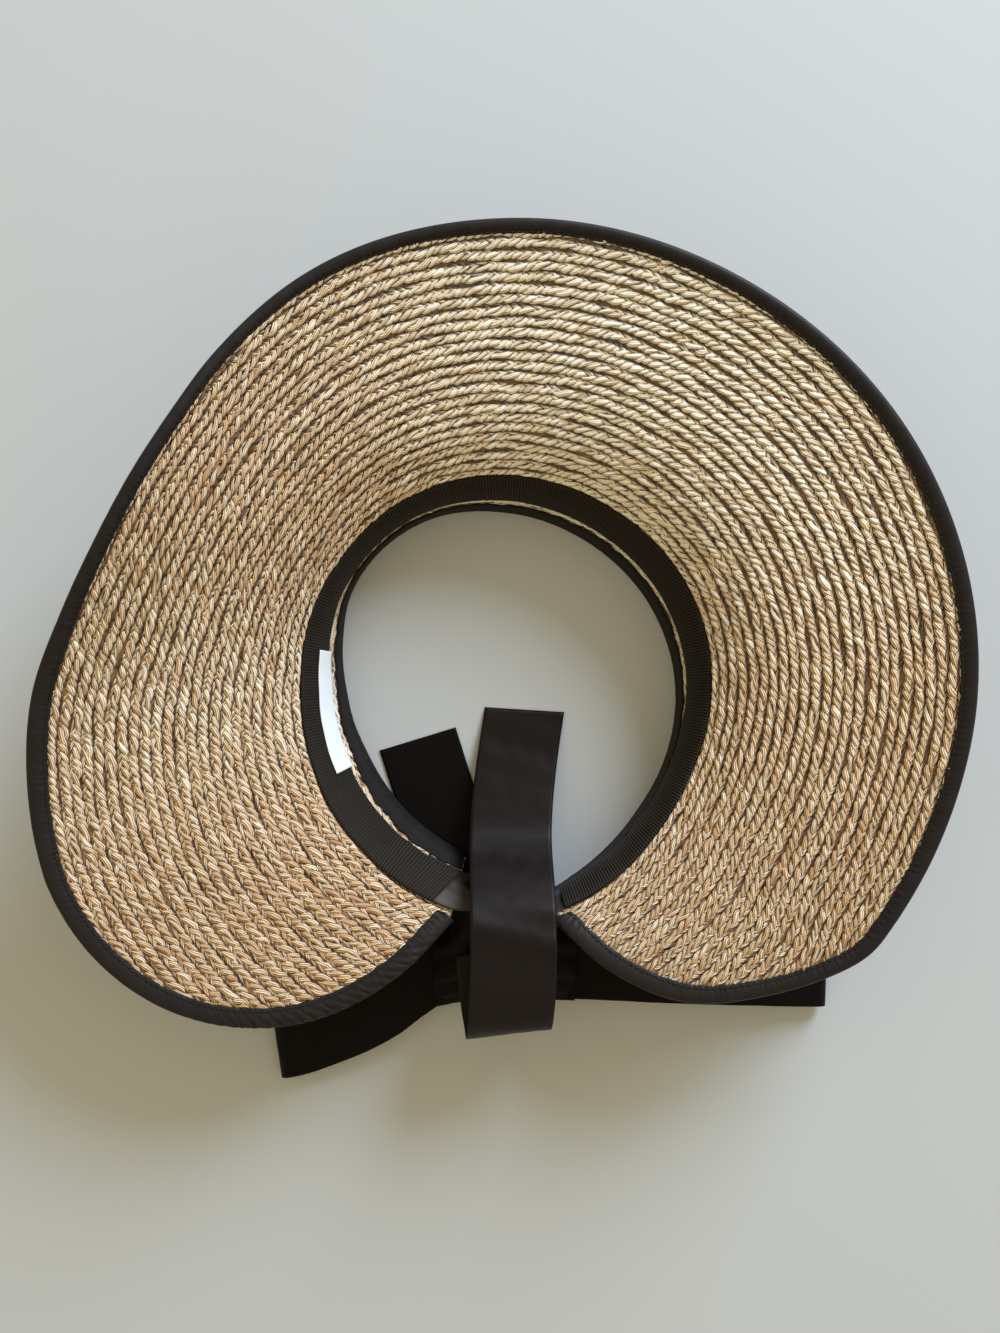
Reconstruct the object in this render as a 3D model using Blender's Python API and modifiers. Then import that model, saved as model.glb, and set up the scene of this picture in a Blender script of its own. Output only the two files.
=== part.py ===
"""Straw visor lying upside down: it rests on its crown edge, with the underside of the brim up.

The braided straw is one shell. A collar goes round the head and the brim flares out of it. Tape
binds both raw edges, a ribbed sweatband lines the collar, and a short strap closes the gap at
the back. A ribbon bow is gathered under that strap: two flat loops, a short tail that runs into
the head opening, and a long tail that arches back over the strap.

+X is the wearer's left, +Y the front of the visor and +Z up. The origin is on the surface that
the visor lies on, in the middle of the head opening. Tables and sizes are in millimetres and
degrees.
"""

import bisect
import math

import bmesh
import bpy
from mathutils import Vector

MM = 0.001

# Thicknesses, widths and clearances
STRAW_WALL = 2.4
TAPE_WALL = 1.0
GAP = 0.4
TAPE_GAP = 0.5
COLLAR_WIDTH = 38.5
SWEATBAND_WIDTH = 25.0
SWEATBAND_TOP = 0.7
STRAP_WIDTH = 24.0
STRAP_TOP = 1.2
RIBBON_WIDTH = 38.0
RIBBON_WALL = 1.0
LABEL_WIDTH = 12.0
LABEL_TOP = 11.0
LABEL_WALL = 0.5

# Where each band begins and ends round the head, counted from +X through +Y
STRAW_ENDS = (-78.0, 255.5)
CROWN_TAPE_ENDS = (-77.0, 255.0)
SWEATBAND_ENDS = (-75.0, 249.7)
STRAP_ENDS = (243.5, 292.0)
LABEL_ENDS = (167.0, 205.0)
SWEATBAND_END_SLANT = 5.3
FOOT_ENDS = (-35.0, -12.0, 187.0, 207.0)

# The wall at each station round the head. Radii are from the origin's vertical, heights from
# the table. Crown is the straw's narrow edge, seam is where collar turns into brim, and edge is
# the full brim, of which the rounded rear corners keep only a share. Strip is the bare straw
# that shows between the sweatband and the crown tape.
COLUMNS = ("angle", "crown_r", "crown_z", "seam_r", "seam_z", "edge_r", "edge_z", "kept", "strip")
STATIONS = (
    (-78.0, 96.2, 4.8, 100.3, 43.1, 205.0, 52.0, 0.02, 1.0),
    (-70.0, 93.1, 4.7, 98.8, 42.8, 203.0, 52.7, 0.28, 1.0),
    (-60.0, 89.3, 4.4, 96.2, 42.3, 200.0, 54.0, 0.561, 1.0),
    (-50.0, 86.3, 3.9, 93.3, 41.8, 197.0, 55.7, 0.743, 1.1),
    (-41.0, 84.2, 3.4, 91.5, 41.2, 196.7, 57.8, 0.877, 1.3),
    (-35.5, 83.5, 3.2, 90.7, 41.0, 191.2, 59.5, 0.987, 1.5),
    (-30.0, 83.0, 2.9, 90.2, 40.7, 190.8, 61.8, 1.0, 1.7),
    (-22.5, 82.395, 2.643, 90.076, 40.386, 191.5, 64.884, 1.0, 2.193),
    (-15.0, 81.9, 2.5, 90.4, 40.1, 192.5, 67.7, 1.0, 2.8),
    (0.0, 81.3, 2.4, 91.9, 39.4, 195.4, 72.0, 1.0, 4.0),
    (30.0, 80.8, 2.4, 94.9, 38.2, 198.4, 76.0, 1.0, 3.5),
    (60.0, 82.3, 2.4, 96.4, 38.2, 197.7, 78.0, 1.0, 3.6),
    (90.0, 87.1, 2.4, 99.2, 39.0, 196.6, 80.0, 1.0, 5.0),
    (115.0, 92.0, 2.4, 99.9, 40.1, 191.8, 84.0, 1.0, 5.0),
    (130.0, 92.3, 2.4, 98.9, 40.3, 183.0, 90.0, 1.0, 5.5),
    (140.0, 91.3, 2.4, 97.7, 40.4, 176.9, 95.0, 1.0, 5.6),
    (150.0, 89.1, 2.4, 97.0, 40.1, 175.3, 96.4, 1.0, 5.8),
    (160.0, 85.0, 2.4, 96.4, 39.2, 178.3, 92.1, 1.0, 6.0),
    (170.0, 81.4, 2.4, 95.1, 38.4, 186.6, 83.6, 1.0, 6.0),
    (180.0, 78.2, 2.4, 94.5, 37.3, 198.5, 74.0, 1.0, 5.2),
    (190.0, 76.3, 2.6, 94.8, 36.4, 206.8, 65.5, 1.0, 4.2),
    (202.0, 74.3, 3.2, 95.4, 35.4, 213.9, 58.5, 1.0, 3.0),
    (214.0, 74.1, 4.1, 96.7, 35.3, 217.2, 53.8, 0.95, 2.2),
    (226.0, 75.0, 4.6, 97.5, 35.8, 220.5, 51.0, 0.807, 1.5),
    (238.0, 76.6, 4.8, 99.4, 35.8, 223.0, 48.4, 0.565, 1.3),
    (248.0, 78.4, 4.8, 100.8, 36.1, 225.8, 47.0, 0.27, 1.3),
    (255.5, 80.2, 4.8, 101.6, 36.7, 228.0, 46.0, 0.02, 1.3),
    (269.0, 85.5, 4.8, 96.0, 41.5, 216.0, 49.0, 0.0, 1.3),
)

# How far the brim's tape reaches in over the straw, at angles round the head
BRIM_TAPE = (
    (-78.0, 6.8),
    (-60.0, 6.6),
    (-45.0, 5.7),
    (-20.0, 5.3),
    (40.0, 5.2),
    (75.0, 4.4),
    (105.0, 4.0),
    (128.0, 3.6),
    (150.0, 4.0),
    (165.0, 4.6),
    (180.0, 6.4),
    (210.0, 6.7),
    (236.0, 7.2),
    (255.5, 7.0),
)

# How much of the collar's direction is left where the wall turns over at the seam
SEAM_ROUNDING = 0.45

# Ribbon routes along the middle of the ribbon. Across is the compass direction of its width.
ROUTE_COLUMNS = ("x", "y", "z", "across")
LEFT_LOOP = (
    (-31.4, -126.0, 2.7, 92.0),
    (-38.0, -129.5, 2.4, 101.0),
    (-47.0, -134.5, 2.0, 109.0),
    (-59.3, -143.1, 1.5, 115.0),
    (-72.0, -150.5, 1.1, 112.0),
    (-86.0, -156.5, 0.9, 108.0),
    (-103.0, -162.6, 1.0, 100.5),
    (-108.9, -163.8, 1.9, 98.5),
    (-110.3, -164.0, 4.0, 98.5),
    (-108.6, -163.7, 6.2, 98.5),
    (-102.0, -162.2, 7.6, 100.5),
    (-86.0, -156.3, 9.4, 108.0),
    (-72.0, -150.2, 10.6, 112.0),
    (-59.0, -142.8, 11.2, 115.0),
    (-47.0, -134.3, 11.2, 109.0),
    (-38.0, -129.3, 10.6, 101.0),
    (-31.4, -126.0, 9.8, 92.0),
)
RIGHT_LOOP = (
    (28.0, -124.9, 2.6, 90.0),
    (45.0, -125.4, 2.1, 89.5),
    (68.0, -126.4, 1.5, 88.5),
    (92.0, -127.5, 1.0, 88.0),
    (120.0, -128.6, 0.9, 88.0),
    (142.0, -129.3, 1.0, 88.0),
    (149.8, -129.6, 1.9, 88.0),
    (151.3, -129.7, 4.0, 88.0),
    (149.6, -129.6, 6.0, 88.0),
    (142.0, -129.3, 7.4, 88.0),
    (116.0, -128.4, 9.2, 88.0),
    (92.0, -127.4, 10.8, 88.0),
    (68.0, -126.3, 11.4, 88.5),
    (45.0, -125.3, 11.0, 89.5),
    (28.0, -124.9, 9.9, 90.0),
)
LONG_TAIL = (
    (-5.0, -120.0, 20.8, 2.0),
    (-4.4, -132.0, 20.5, 3.0),
    (-2.6, -144.0, 24.0, 5.0),
    (-1.0, -150.6, 30.2, 6.4),
    (-0.3, -152.4, 37.0, 6.4),
    (0.3, -149.6, 44.0, 5.5),
    (1.0, -142.0, 49.2, 4.0),
    (1.7, -130.0, 51.4, 1.5),
    (2.1, -117.0, 51.2, 0.0),
    (2.1, -106.0, 50.2, 0.0),
    (2.0, -96.0, 47.4, 0.0),
    (1.8, -88.0, 41.2, 0.0),
    (1.5, -80.0, 32.4, 0.0),
    (1.2, -72.5, 23.4, -0.5),
    (1.2, -66.0, 17.6, -1.5),
    (1.9, -53.0, 12.2, -2.6),
    (3.4, -38.5, 7.4, -3.4),
    (5.5, -23.5, 3.4, -3.6),
    (7.9, -8.2, 0.5, -3.6),
)
SHORT_TAIL = (
    (-16.9, -106.2, 0.5, 17.0),
    (-30.0, -64.2, 0.5, 17.0),
    (-43.25, -22.2, 0.5, 17.0),
)

# The gathered middle of the bow: its outline at each place along X. The inner face leans on the
# strap in the gap and stands free beside it.
KNOT_COLUMNS = ("x", "inner_y", "inner_z", "outer_y", "outer_z", "crest_z", "on_strap")
KNOT = (
    (-30.5, -104.0, 9.0, -142.5, 5.0, 12.5, 0.0),
    (-25.0, -102.5, 12.0, -143.5, 7.0, 15.0, 0.0),
    (-19.0, -96.0, 16.0, -144.0, 8.0, 16.5, 1.0),
    (-9.0, -95.0, 18.0, -144.0, 8.5, 17.5, 1.0),
    (2.0, -95.0, 18.0, -144.0, 8.5, 17.5, 1.0),
    (14.0, -96.0, 17.0, -143.5, 8.0, 16.5, 1.0),
    (21.0, -102.5, 12.0, -143.0, 7.0, 15.0, 0.0),
    (27.5, -104.0, 9.0, -142.0, 5.0, 12.5, 0.0),
)
KNOT_FLOOR = 1.5


def curve_through(knots, values):
    """A function of one number that passes smoothly through the given values."""
    slopes = []
    last = len(knots) - 1
    for i in range(len(knots)):
        low = max(i - 1, 0)
        high = min(i + 1, last)
        if low == i or high == i:
            slopes.append((values[high] - values[low]) / (knots[high] - knots[low]))
            continue
        before = knots[i] - knots[low]
        after = knots[high] - knots[i]
        rise_before = (values[i] - values[low]) / before
        rise_after = (values[high] - values[i]) / after
        slopes.append((rise_before * after + rise_after * before) / (before + after))

    def value(place):
        i = min(max(bisect.bisect_right(knots, place) - 1, 0), last - 1)
        span = knots[i + 1] - knots[i]
        t = (place - knots[i]) / span
        return (
            values[i] * (1 + 2 * t) * (1 - t) ** 2
            + values[i + 1] * t * t * (3 - 2 * t)
            + slopes[i] * span * t * (1 - t) ** 2
            - slopes[i + 1] * span * t * t * (1 - t)
        )

    return value


def closed_curves(rows, columns):
    """One smooth function of the angle for each column, repeating every full turn."""
    wrapped = [(row, turn) for turn in (-360.0, 0.0, 360.0) for row in rows]
    angles = [row[0] + turn for row, turn in wrapped]
    curves = {}
    for number, name in enumerate(columns[1:], start=1):
        curves[name] = curve_through(angles, [row[number] for row, turn in wrapped])
    return curves


WALL = closed_curves(STATIONS, COLUMNS)
brim_tape_reach = curve_through(*zip(*BRIM_TAPE))


def ramp(place, start, end):
    """0 before the start and 1 past the end, with a smooth rise between them."""
    share = min(max((place - start) / (end - start), 0.0), 1.0)
    return share * share * (3 - 2 * share)


def kept_share(angle):
    """The share of the full brim width that the rounded rear corners leave."""
    return min(max(WALL["kept"](angle), 0.02), 1.0)


def profile(angle, across):
    """Radius and height of the middle of the wall: -1 is the crown edge, 0 the seam, 1 the brim."""
    crown = Vector((WALL["crown_r"](angle), WALL["crown_z"](angle)))
    seam = Vector((WALL["seam_r"](angle), WALL["seam_z"](angle)))
    edge = Vector((WALL["edge_r"](angle), WALL["edge_z"](angle)))
    collar = seam - crown
    brim = edge - seam
    turn = collar.normalized() * SEAM_ROUNDING + brim.normalized() * (1 - SEAM_ROUNDING)
    turn.normalize()
    if across < 0:
        start, end, first, last, t = crown, seam, collar, turn * collar.length, across + 1
    else:
        start, end, first, last, t = seam, edge, turn * brim.length, brim, across
    return (
        start * (1 + 2 * t) * (1 - t) ** 2
        + end * t * t * (3 - 2 * t)
        + first * t * (1 - t) ** 2
        - last * t * t * (1 - t)
    )


def wall_point(angle, across):
    """A point on the middle of the wall."""
    radius, height = profile(angle, across)
    turn = math.radians(angle)
    return Vector((radius * math.cos(turn), radius * math.sin(turn), height))


def wall_steps(angle, across):
    """How the wall's middle moves for one degree round and for one unit across."""
    step_round = 0.25
    step_across = 0.01
    low = max(across - step_across, -1.0)
    high = min(across + step_across, 1.0)
    if across < 0 < high:
        high = across
    if low < 0 <= across:
        low = across
    round_step = wall_point(angle + step_round, across) - wall_point(angle - step_round, across)
    across_step = wall_point(angle, high) - wall_point(angle, low)
    return round_step / (2 * step_round), across_step / (high - low)


def wall_normal(angle, across):
    """The wall's direction on its head side, which is the upper side of the brim as it lies."""
    round_step, across_step = wall_steps(angle, across)
    return across_step.cross(round_step).normalized()


def beside_wall(angle, across, offset):
    """A point at a distance from the middle of the wall, towards the head side."""
    return wall_point(angle, across) + wall_normal(angle, across) * offset


def crown_tape_top(angle):
    """The place across the collar where the crown tape's legs end."""
    return collar_share(SWEATBAND_TOP + SWEATBAND_WIDTH + WALL["strip"](angle))


def collar_share(distance):
    """The place across the collar of a distance from the seam."""
    return -distance / COLLAR_WIDTH


def angles_between(start, end, spacing):
    """Evenly spaced angles, both ends included."""
    count = max(2, math.ceil((end - start) / spacing))
    return [start + (end - start) * i / count for i in range(count + 1)]


def wall_angles(start, end, finest):
    """Stations round the wall, closer together at the rounded rear corners."""
    zones = ((start, start + 12, 1.5), (start + 12, start + 44, 3.2), (start + 44, end - 50, 4.8))
    zones += ((end - 50, end - 12, 3.2), (end - 12, end, 1.5))
    angles = [start]
    for low, high, spacing in zones:
        angles += angles_between(low, high, max(spacing, finest))[1:]
    return angles


def mesh_object(name, points, faces, colour, roughness):
    """An object in the visor's collection, from points in millimetres."""
    mesh = bpy.data.meshes.new(name)
    mesh.from_pydata([point * MM for point in points], [], faces)
    shape = bmesh.new()
    shape.from_mesh(mesh)
    bmesh.ops.recalc_face_normals(shape, faces=shape.faces)
    shape.to_mesh(mesh)
    shape.free()
    mesh.shade_smooth()
    mesh.set_sharp_from_angle(angle=math.radians(40))
    obj = bpy.data.objects.new(name, mesh)
    bpy.data.collections["straw_visor"].objects.link(obj)
    material = bpy.data.materials.new(name)
    material.use_nodes = True
    shader = material.node_tree.nodes["Principled BSDF"]
    shader.inputs["Base Color"].default_value = (*colour, 1.0)
    shader.inputs["Roughness"].default_value = roughness
    shader.inputs["Metallic"].default_value = 0.0
    mesh.materials.append(material)
    return obj


def loft(name, sections, colour, roughness):
    """A closed solid through sections that are closed outlines with equally many points."""
    size = len(sections[0])
    points = [point for section in sections for point in section]
    faces = []
    for row in range(len(sections) - 1):
        for i in range(size):
            j = (i + 1) % size
            low = row * size
            faces.append((low + i, low + j, low + size + j, low + size + i))
    last = (len(sections) - 1) * size
    faces.append(tuple(range(size)))
    faces.append(tuple(last + i for i in range(size)))
    return mesh_object(name, points, faces, colour, roughness)


def build_straw():
    """The collar and brim: one open surface, thickened on both sides."""
    across_collar = (-1.0, -0.75, -0.5, -0.25)
    across_brim = (0.0, 0.12, 0.27, 0.46, 0.69, 0.92, 1.0)
    angles = wall_angles(*STRAW_ENDS, 1.5)
    points = []
    for angle in angles:
        places = across_collar + tuple(kept_share(angle) * share for share in across_brim)
        points += [wall_point(angle, place) for place in places]
    width = len(across_collar) + len(across_brim)
    faces = []
    for row in range(len(angles) - 1):
        for i in range(width - 1):
            low = row * width + i
            faces.append((low, low + 1, low + width + 1, low + width))
    straw = mesh_object("straw_body", points, faces, (0.66, 0.5, 0.31), 0.75)
    wall = straw.modifiers.new("wall", "SOLIDIFY")
    wall.thickness = STRAW_WALL * MM
    wall.offset = 0.0
    wall.use_even_offset = True
    return straw


def tape_section(edge, inward, normal, leg_end, leg_normal):
    """The U of a binding tape: two legs joined round the raw edge of the straw."""
    inner = STRAW_WALL / 2 + TAPE_GAP
    outer = inner + TAPE_WALL
    return [
        leg_end + leg_normal * outer,
        leg_end + leg_normal * inner,
        edge - inward * TAPE_GAP + normal * inner,
        edge - inward * TAPE_GAP - normal * inner,
        leg_end - leg_normal * inner,
        leg_end - leg_normal * outer,
        edge - inward * (TAPE_GAP + TAPE_WALL) - normal * outer,
        edge - inward * (TAPE_GAP + TAPE_WALL) + normal * outer,
    ]


def brim_edge(angle):
    """A point on the brim's outline."""
    return wall_point(angle, kept_share(angle))


def build_brim_binding():
    """The tape round the brim, from one rear corner to the other."""
    sections = []
    start, end = STRAW_ENDS
    for angle in wall_angles(start, end, 1.5):
        kept = kept_share(angle)
        edge = brim_edge(angle)
        normal = wall_normal(angle, kept)
        along = brim_edge(min(angle + 0.3, end)) - brim_edge(max(angle - 0.3, start))
        inward = normal.cross(along.normalized())
        round_step, across_step = wall_steps(angle, kept)
        if inward.dot(across_step) > 0:
            inward.negate()
        # The leg's end is found by walking from the edge straight inwards over the surface
        shift = inward * brim_tape_reach(angle)
        rr = round_step.dot(round_step)
        ra = round_step.dot(across_step)
        aa = across_step.dot(across_step)
        determinant = rr * aa - ra * ra
        turn = (shift.dot(round_step) * aa - shift.dot(across_step) * ra) / determinant
        reach = (shift.dot(across_step) * rr - shift.dot(round_step) * ra) / determinant
        leg_angle = angle + turn
        leg_across = max(kept + reach, 0.012)
        leg_end = wall_point(leg_angle, leg_across)
        leg_normal = wall_normal(leg_angle, leg_across)
        sections.append(tape_section(edge, inward, normal, leg_end, leg_normal))
    return loft("brim_binding", sections, (0.028, 0.024, 0.024), 0.5)


def build_crown_binding():
    """The tape round the crown edge, with a flat foot where it stands on the table."""
    sections = []
    for angle in wall_angles(*CROWN_TAPE_ENDS, 3.0):
        edge = wall_point(angle, -1.0)
        leg_across = crown_tape_top(angle)
        inward = (wall_point(angle, -0.97) - edge).normalized()
        section = tape_section(
            edge,
            inward,
            wall_normal(angle, -1.0),
            wall_point(angle, leg_across),
            wall_normal(angle, leg_across),
        )
        right_start, right_end, left_start, left_end = FOOT_ENDS
        flat = ramp(angle, right_start, right_end) * (1 - ramp(angle, left_start, left_end))
        for i in (6, 7):
            section[i] = section[i] - inward * (section[i].z / inward.z) * flat
        sections.append(section)
    return loft("crown_binding", sections, (0.03, 0.027, 0.027), 0.55)


def band_section(angles, distances, low, high):
    """A flat band's outline: its near side at one offset, then back along its far side."""
    near = [
        beside_wall(angle, collar_share(distance), high) for angle, distance in zip(angles, distances)
    ]
    far = [
        beside_wall(angle, collar_share(distance), low) for angle, distance in zip(angles, distances)
    ]
    return near + far[::-1]


def spread(start, width, count):
    """Evenly spaced distances from the seam across a band."""
    return [start + width * i / (count - 1) for i in range(count)]


def sweatband_lift(angle):
    """How far the sweatband stands off the straw, to clear the strap tucked under its ends."""
    strap_start, strap_end = STRAP_ENDS
    over_left = ramp(angle, strap_start - 13, strap_start - 5)
    over_right = 1 - ramp(angle, strap_end - 360 + 5, strap_end - 360 + 13)
    base = STRAW_WALL / 2 + GAP
    return base + (TAPE_WALL + TAPE_GAP) * max(over_left, over_right)


def build_sweatband():
    """The ribbed ribbon that lines the collar."""
    sections = []
    start, end = SWEATBAND_ENDS
    distances = spread(SWEATBAND_TOP, SWEATBAND_WIDTH, 4)
    for angle in wall_angles(start, end, 3.0):
        slant = SWEATBAND_END_SLANT * ramp(angle, end - 20, end)
        angles = [angle + slant * i / 3 for i in range(4)]
        low = sweatband_lift(angle)
        sections.append(band_section(angles, distances, low, low + TAPE_WALL))
    return loft("sweatband", sections, (0.04, 0.034, 0.03), 0.7)


def build_strap():
    """The satin strap that carries the collar's curve across the gap at the back."""
    low = STRAW_WALL / 2 + GAP
    distances = spread(STRAP_TOP, STRAP_WIDTH, 4)
    sections = [
        band_section([angle] * 4, distances, low, low + TAPE_WALL)
        for angle in angles_between(*STRAP_ENDS, 3.5)
    ]
    return loft("back_strap", sections, (0.07, 0.058, 0.052), 0.45)


def build_label():
    """The small plain label sewn to the sweatband."""
    low = STRAW_WALL / 2 + GAP + TAPE_WALL + GAP
    distances = spread(LABEL_TOP, LABEL_WIDTH, 3)
    sections = [
        band_section([angle] * 3, distances, low, low + LABEL_WALL)
        for angle in angles_between(*LABEL_ENDS, 4.6)
    ]
    return loft("sweatband_label", sections, (0.75, 0.74, 0.72), 0.6)


def build_ribbon(name, route):
    """A flat ribbon that follows a route, with its width set at each row."""
    places = [0.0]
    for before, after in zip(route, route[1:]):
        places.append(places[-1] + (Vector(after[:3]) - Vector(before[:3])).length)
    curves = {}
    for number, column in enumerate(ROUTE_COLUMNS):
        curves[column] = curve_through(places, [row[number] for row in route])
    stops = [0.0]
    for low, high in zip(places, places[1:]):
        count = max(2, math.ceil((high - low) / 14.0))
        stops += [low + (high - low) * (i + 1) / count for i in range(count)]

    def middle(stop):
        return Vector((curves["x"](stop), curves["y"](stop), curves["z"](stop)))

    sections = []
    for stop in stops:
        ahead = middle(min(stop + 0.2, places[-1])) - middle(max(stop - 0.2, 0.0))
        turn = math.radians(curves["across"](stop))
        across = Vector((math.cos(turn), math.sin(turn), 0.0))
        normal = ahead.cross(across).normalized() * (RIBBON_WALL / 2)
        reach = across * (RIBBON_WIDTH / 2)
        centre = middle(stop)
        sections.append(
            [
                centre - reach - normal,
                centre + reach - normal,
                centre + reach + normal,
                centre - reach + normal,
            ]
        )
    return loft(name, sections, (0.022, 0.02, 0.021), 0.45)


def build_knot():
    """The gathered middle of the bow, seated against the outer face of the strap."""
    sections = []
    strap_face = STRAW_WALL / 2 - 0.4
    for x, inner_y, inner_z, outer_y, outer_z, crest_z, on_strap in KNOT:
        upper = Vector((x, inner_y, inner_z))
        lower = Vector((x, inner_y + 3.0, KNOT_FLOOR + 2.5))
        if on_strap:
            angle = 270.0 + math.degrees(math.atan2(x, -inner_y))
            upper = beside_wall(angle, collar_share(STRAP_TOP + 11.0), strap_face)
            lower = beside_wall(angle, collar_share(STRAP_TOP + 20.0), strap_face)
            upper.x = x
            lower.x = x
        length = lower.y - outer_y
        sections.append(
            [
                upper,
                lower,
                Vector((x, lower.y - 0.08 * length, KNOT_FLOOR)),
                Vector((x, outer_y + 3.0, KNOT_FLOOR)),
                Vector((x, outer_y, outer_z)),
                Vector((x, outer_y + 0.35 * length, crest_z)),
            ]
        )
    return loft("bow_knot", sections, (0.02, 0.018, 0.019), 0.5)


def main():
    """Build the visor in an empty scene."""
    for obj in list(bpy.data.objects):
        bpy.data.objects.remove(obj, do_unlink=True)
    collection = bpy.data.collections.new("straw_visor")
    bpy.context.scene.collection.children.link(collection)
    build_straw()
    build_brim_binding()
    build_crown_binding()
    build_sweatband()
    build_strap()
    build_label()
    build_ribbon("bow_loop_left", LEFT_LOOP)
    build_ribbon("bow_loop_right", RIGHT_LOOP)
    build_ribbon("tail_long", LONG_TAIL)
    build_ribbon("tail_short", SHORT_TAIL)
    build_knot()


main()
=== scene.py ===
# The looks of a wide-brimmed straw visor with a ribbon bow, which lies upside down on a table.
# Lengths are millimetres until a mesh is made, and metres from there on.
import math

import bpy
import numpy as np
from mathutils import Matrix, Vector


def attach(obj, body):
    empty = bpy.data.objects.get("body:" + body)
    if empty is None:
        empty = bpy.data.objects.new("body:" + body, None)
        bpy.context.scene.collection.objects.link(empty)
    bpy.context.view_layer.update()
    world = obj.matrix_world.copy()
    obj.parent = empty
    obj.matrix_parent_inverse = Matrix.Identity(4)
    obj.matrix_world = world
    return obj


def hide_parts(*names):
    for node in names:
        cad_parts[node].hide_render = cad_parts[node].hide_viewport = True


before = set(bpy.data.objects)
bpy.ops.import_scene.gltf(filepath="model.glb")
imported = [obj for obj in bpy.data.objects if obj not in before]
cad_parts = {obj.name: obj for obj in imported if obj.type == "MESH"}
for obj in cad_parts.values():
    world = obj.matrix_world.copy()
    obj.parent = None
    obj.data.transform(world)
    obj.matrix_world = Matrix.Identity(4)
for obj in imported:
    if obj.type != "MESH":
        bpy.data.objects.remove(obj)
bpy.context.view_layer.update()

bl_info = {
    "name": "Straw visor",
    "version": (1, 0, 0),
    "blender": (4, 5, 0),
    "location": "3D View > Sidebar > Straw visor",
    "description": "Adds a straw visor with sewn plait, tapes, sweatband and satin bow",
    "category": "Object",
}

MM = 0.001
BODY = "root"

# The wall, as the CAD part has it: one row for each station round the head, in degrees and millimetres
COLUMNS = ("angle", "crown_r", "crown_z", "seam_r", "seam_z", "edge_r", "edge_z", "kept", "strip")
STATIONS = (
    (-78.0, 96.2, 4.8, 100.3, 43.1, 205.0, 52.0, 0.02, 1.0),
    (-70.0, 93.1, 4.7, 98.8, 42.8, 203.0, 52.7, 0.28, 1.0),
    (-60.0, 89.3, 4.4, 96.2, 42.3, 200.0, 54.0, 0.561, 1.0),
    (-50.0, 86.3, 3.9, 93.3, 41.8, 197.0, 55.7, 0.743, 1.1),
    (-41.0, 84.2, 3.4, 91.5, 41.2, 196.7, 57.8, 0.877, 1.3),
    (-35.5, 83.5, 3.2, 90.7, 41.0, 191.2, 59.5, 0.987, 1.5),
    (-30.0, 83.0, 2.9, 90.2, 40.7, 190.8, 61.8, 1.0, 1.7),
    (-22.5, 82.395, 2.643, 90.076, 40.386, 191.5, 64.884, 1.0, 2.193),
    (-15.0, 81.9, 2.5, 90.4, 40.1, 192.5, 67.7, 1.0, 2.8),
    (0.0, 81.3, 2.4, 91.9, 39.4, 195.4, 72.0, 1.0, 4.0),
    (30.0, 80.8, 2.4, 94.9, 38.2, 198.4, 76.0, 1.0, 3.5),
    (60.0, 82.3, 2.4, 96.4, 38.2, 197.7, 78.0, 1.0, 3.6),
    (90.0, 87.1, 2.4, 99.2, 39.0, 196.6, 80.0, 1.0, 5.0),
    (115.0, 92.0, 2.4, 99.9, 40.1, 191.8, 84.0, 1.0, 5.0),
    (130.0, 92.3, 2.4, 98.9, 40.3, 183.0, 90.0, 1.0, 5.5),
    (140.0, 91.3, 2.4, 97.7, 40.4, 176.9, 95.0, 1.0, 5.6),
    (150.0, 89.1, 2.4, 97.0, 40.1, 175.3, 96.4, 1.0, 5.8),
    (160.0, 85.0, 2.4, 96.4, 39.2, 178.3, 92.1, 1.0, 6.0),
    (170.0, 81.4, 2.4, 95.1, 38.4, 186.6, 83.6, 1.0, 6.0),
    (180.0, 78.2, 2.4, 94.5, 37.3, 198.5, 74.0, 1.0, 5.2),
    (190.0, 76.3, 2.6, 94.8, 36.4, 206.8, 65.5, 1.0, 4.2),
    (202.0, 74.3, 3.2, 95.4, 35.4, 213.9, 58.5, 1.0, 3.0),
    (214.0, 74.1, 4.1, 96.7, 35.3, 217.2, 53.8, 0.95, 2.2),
    (226.0, 75.0, 4.6, 97.5, 35.8, 220.5, 51.0, 0.807, 1.5),
    (238.0, 76.6, 4.8, 99.4, 35.8, 223.0, 48.4, 0.565, 1.3),
    (248.0, 78.4, 4.8, 100.8, 36.1, 225.8, 47.0, 0.27, 1.3),
    (255.5, 80.2, 4.8, 101.6, 36.7, 228.0, 46.0, 0.02, 1.3),
    (269.0, 85.5, 4.8, 96.0, 41.5, 216.0, 49.0, 0.0, 1.3),
)
# How much of the collar's own direction the wall keeps where it turns at the seam
SEAM_ROUNDING = 0.45
# How far the brim's tape reaches in over the straw, at angles round the head
BRIM_TAPE = (
    (-78.0, 6.8), (-60.0, 6.6), (-45.0, 5.7), (-20.0, 5.3), (40.0, 5.2), (75.0, 4.4), (105.0, 4.0),
    (128.0, 3.6), (150.0, 4.0), (165.0, 4.6), (180.0, 6.4), (210.0, 6.7), (236.0, 7.2),
    (255.5, 7.0),
)
# How much paler than the rest the straw is painted, at angles round the head, as painted light and shade:
# it is palest at the front
PAINTED_LIGHT_ROUND_HEAD = (
    (-78.0, -0.08), (-45.0, -0.1), (0.0, -0.08), (45.0, 0.14), (90.0, 0.18), (130.0, -0.11),
    (180.0, -0.02), (225.0, -0.17), (255.5, -0.12),
)
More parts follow.
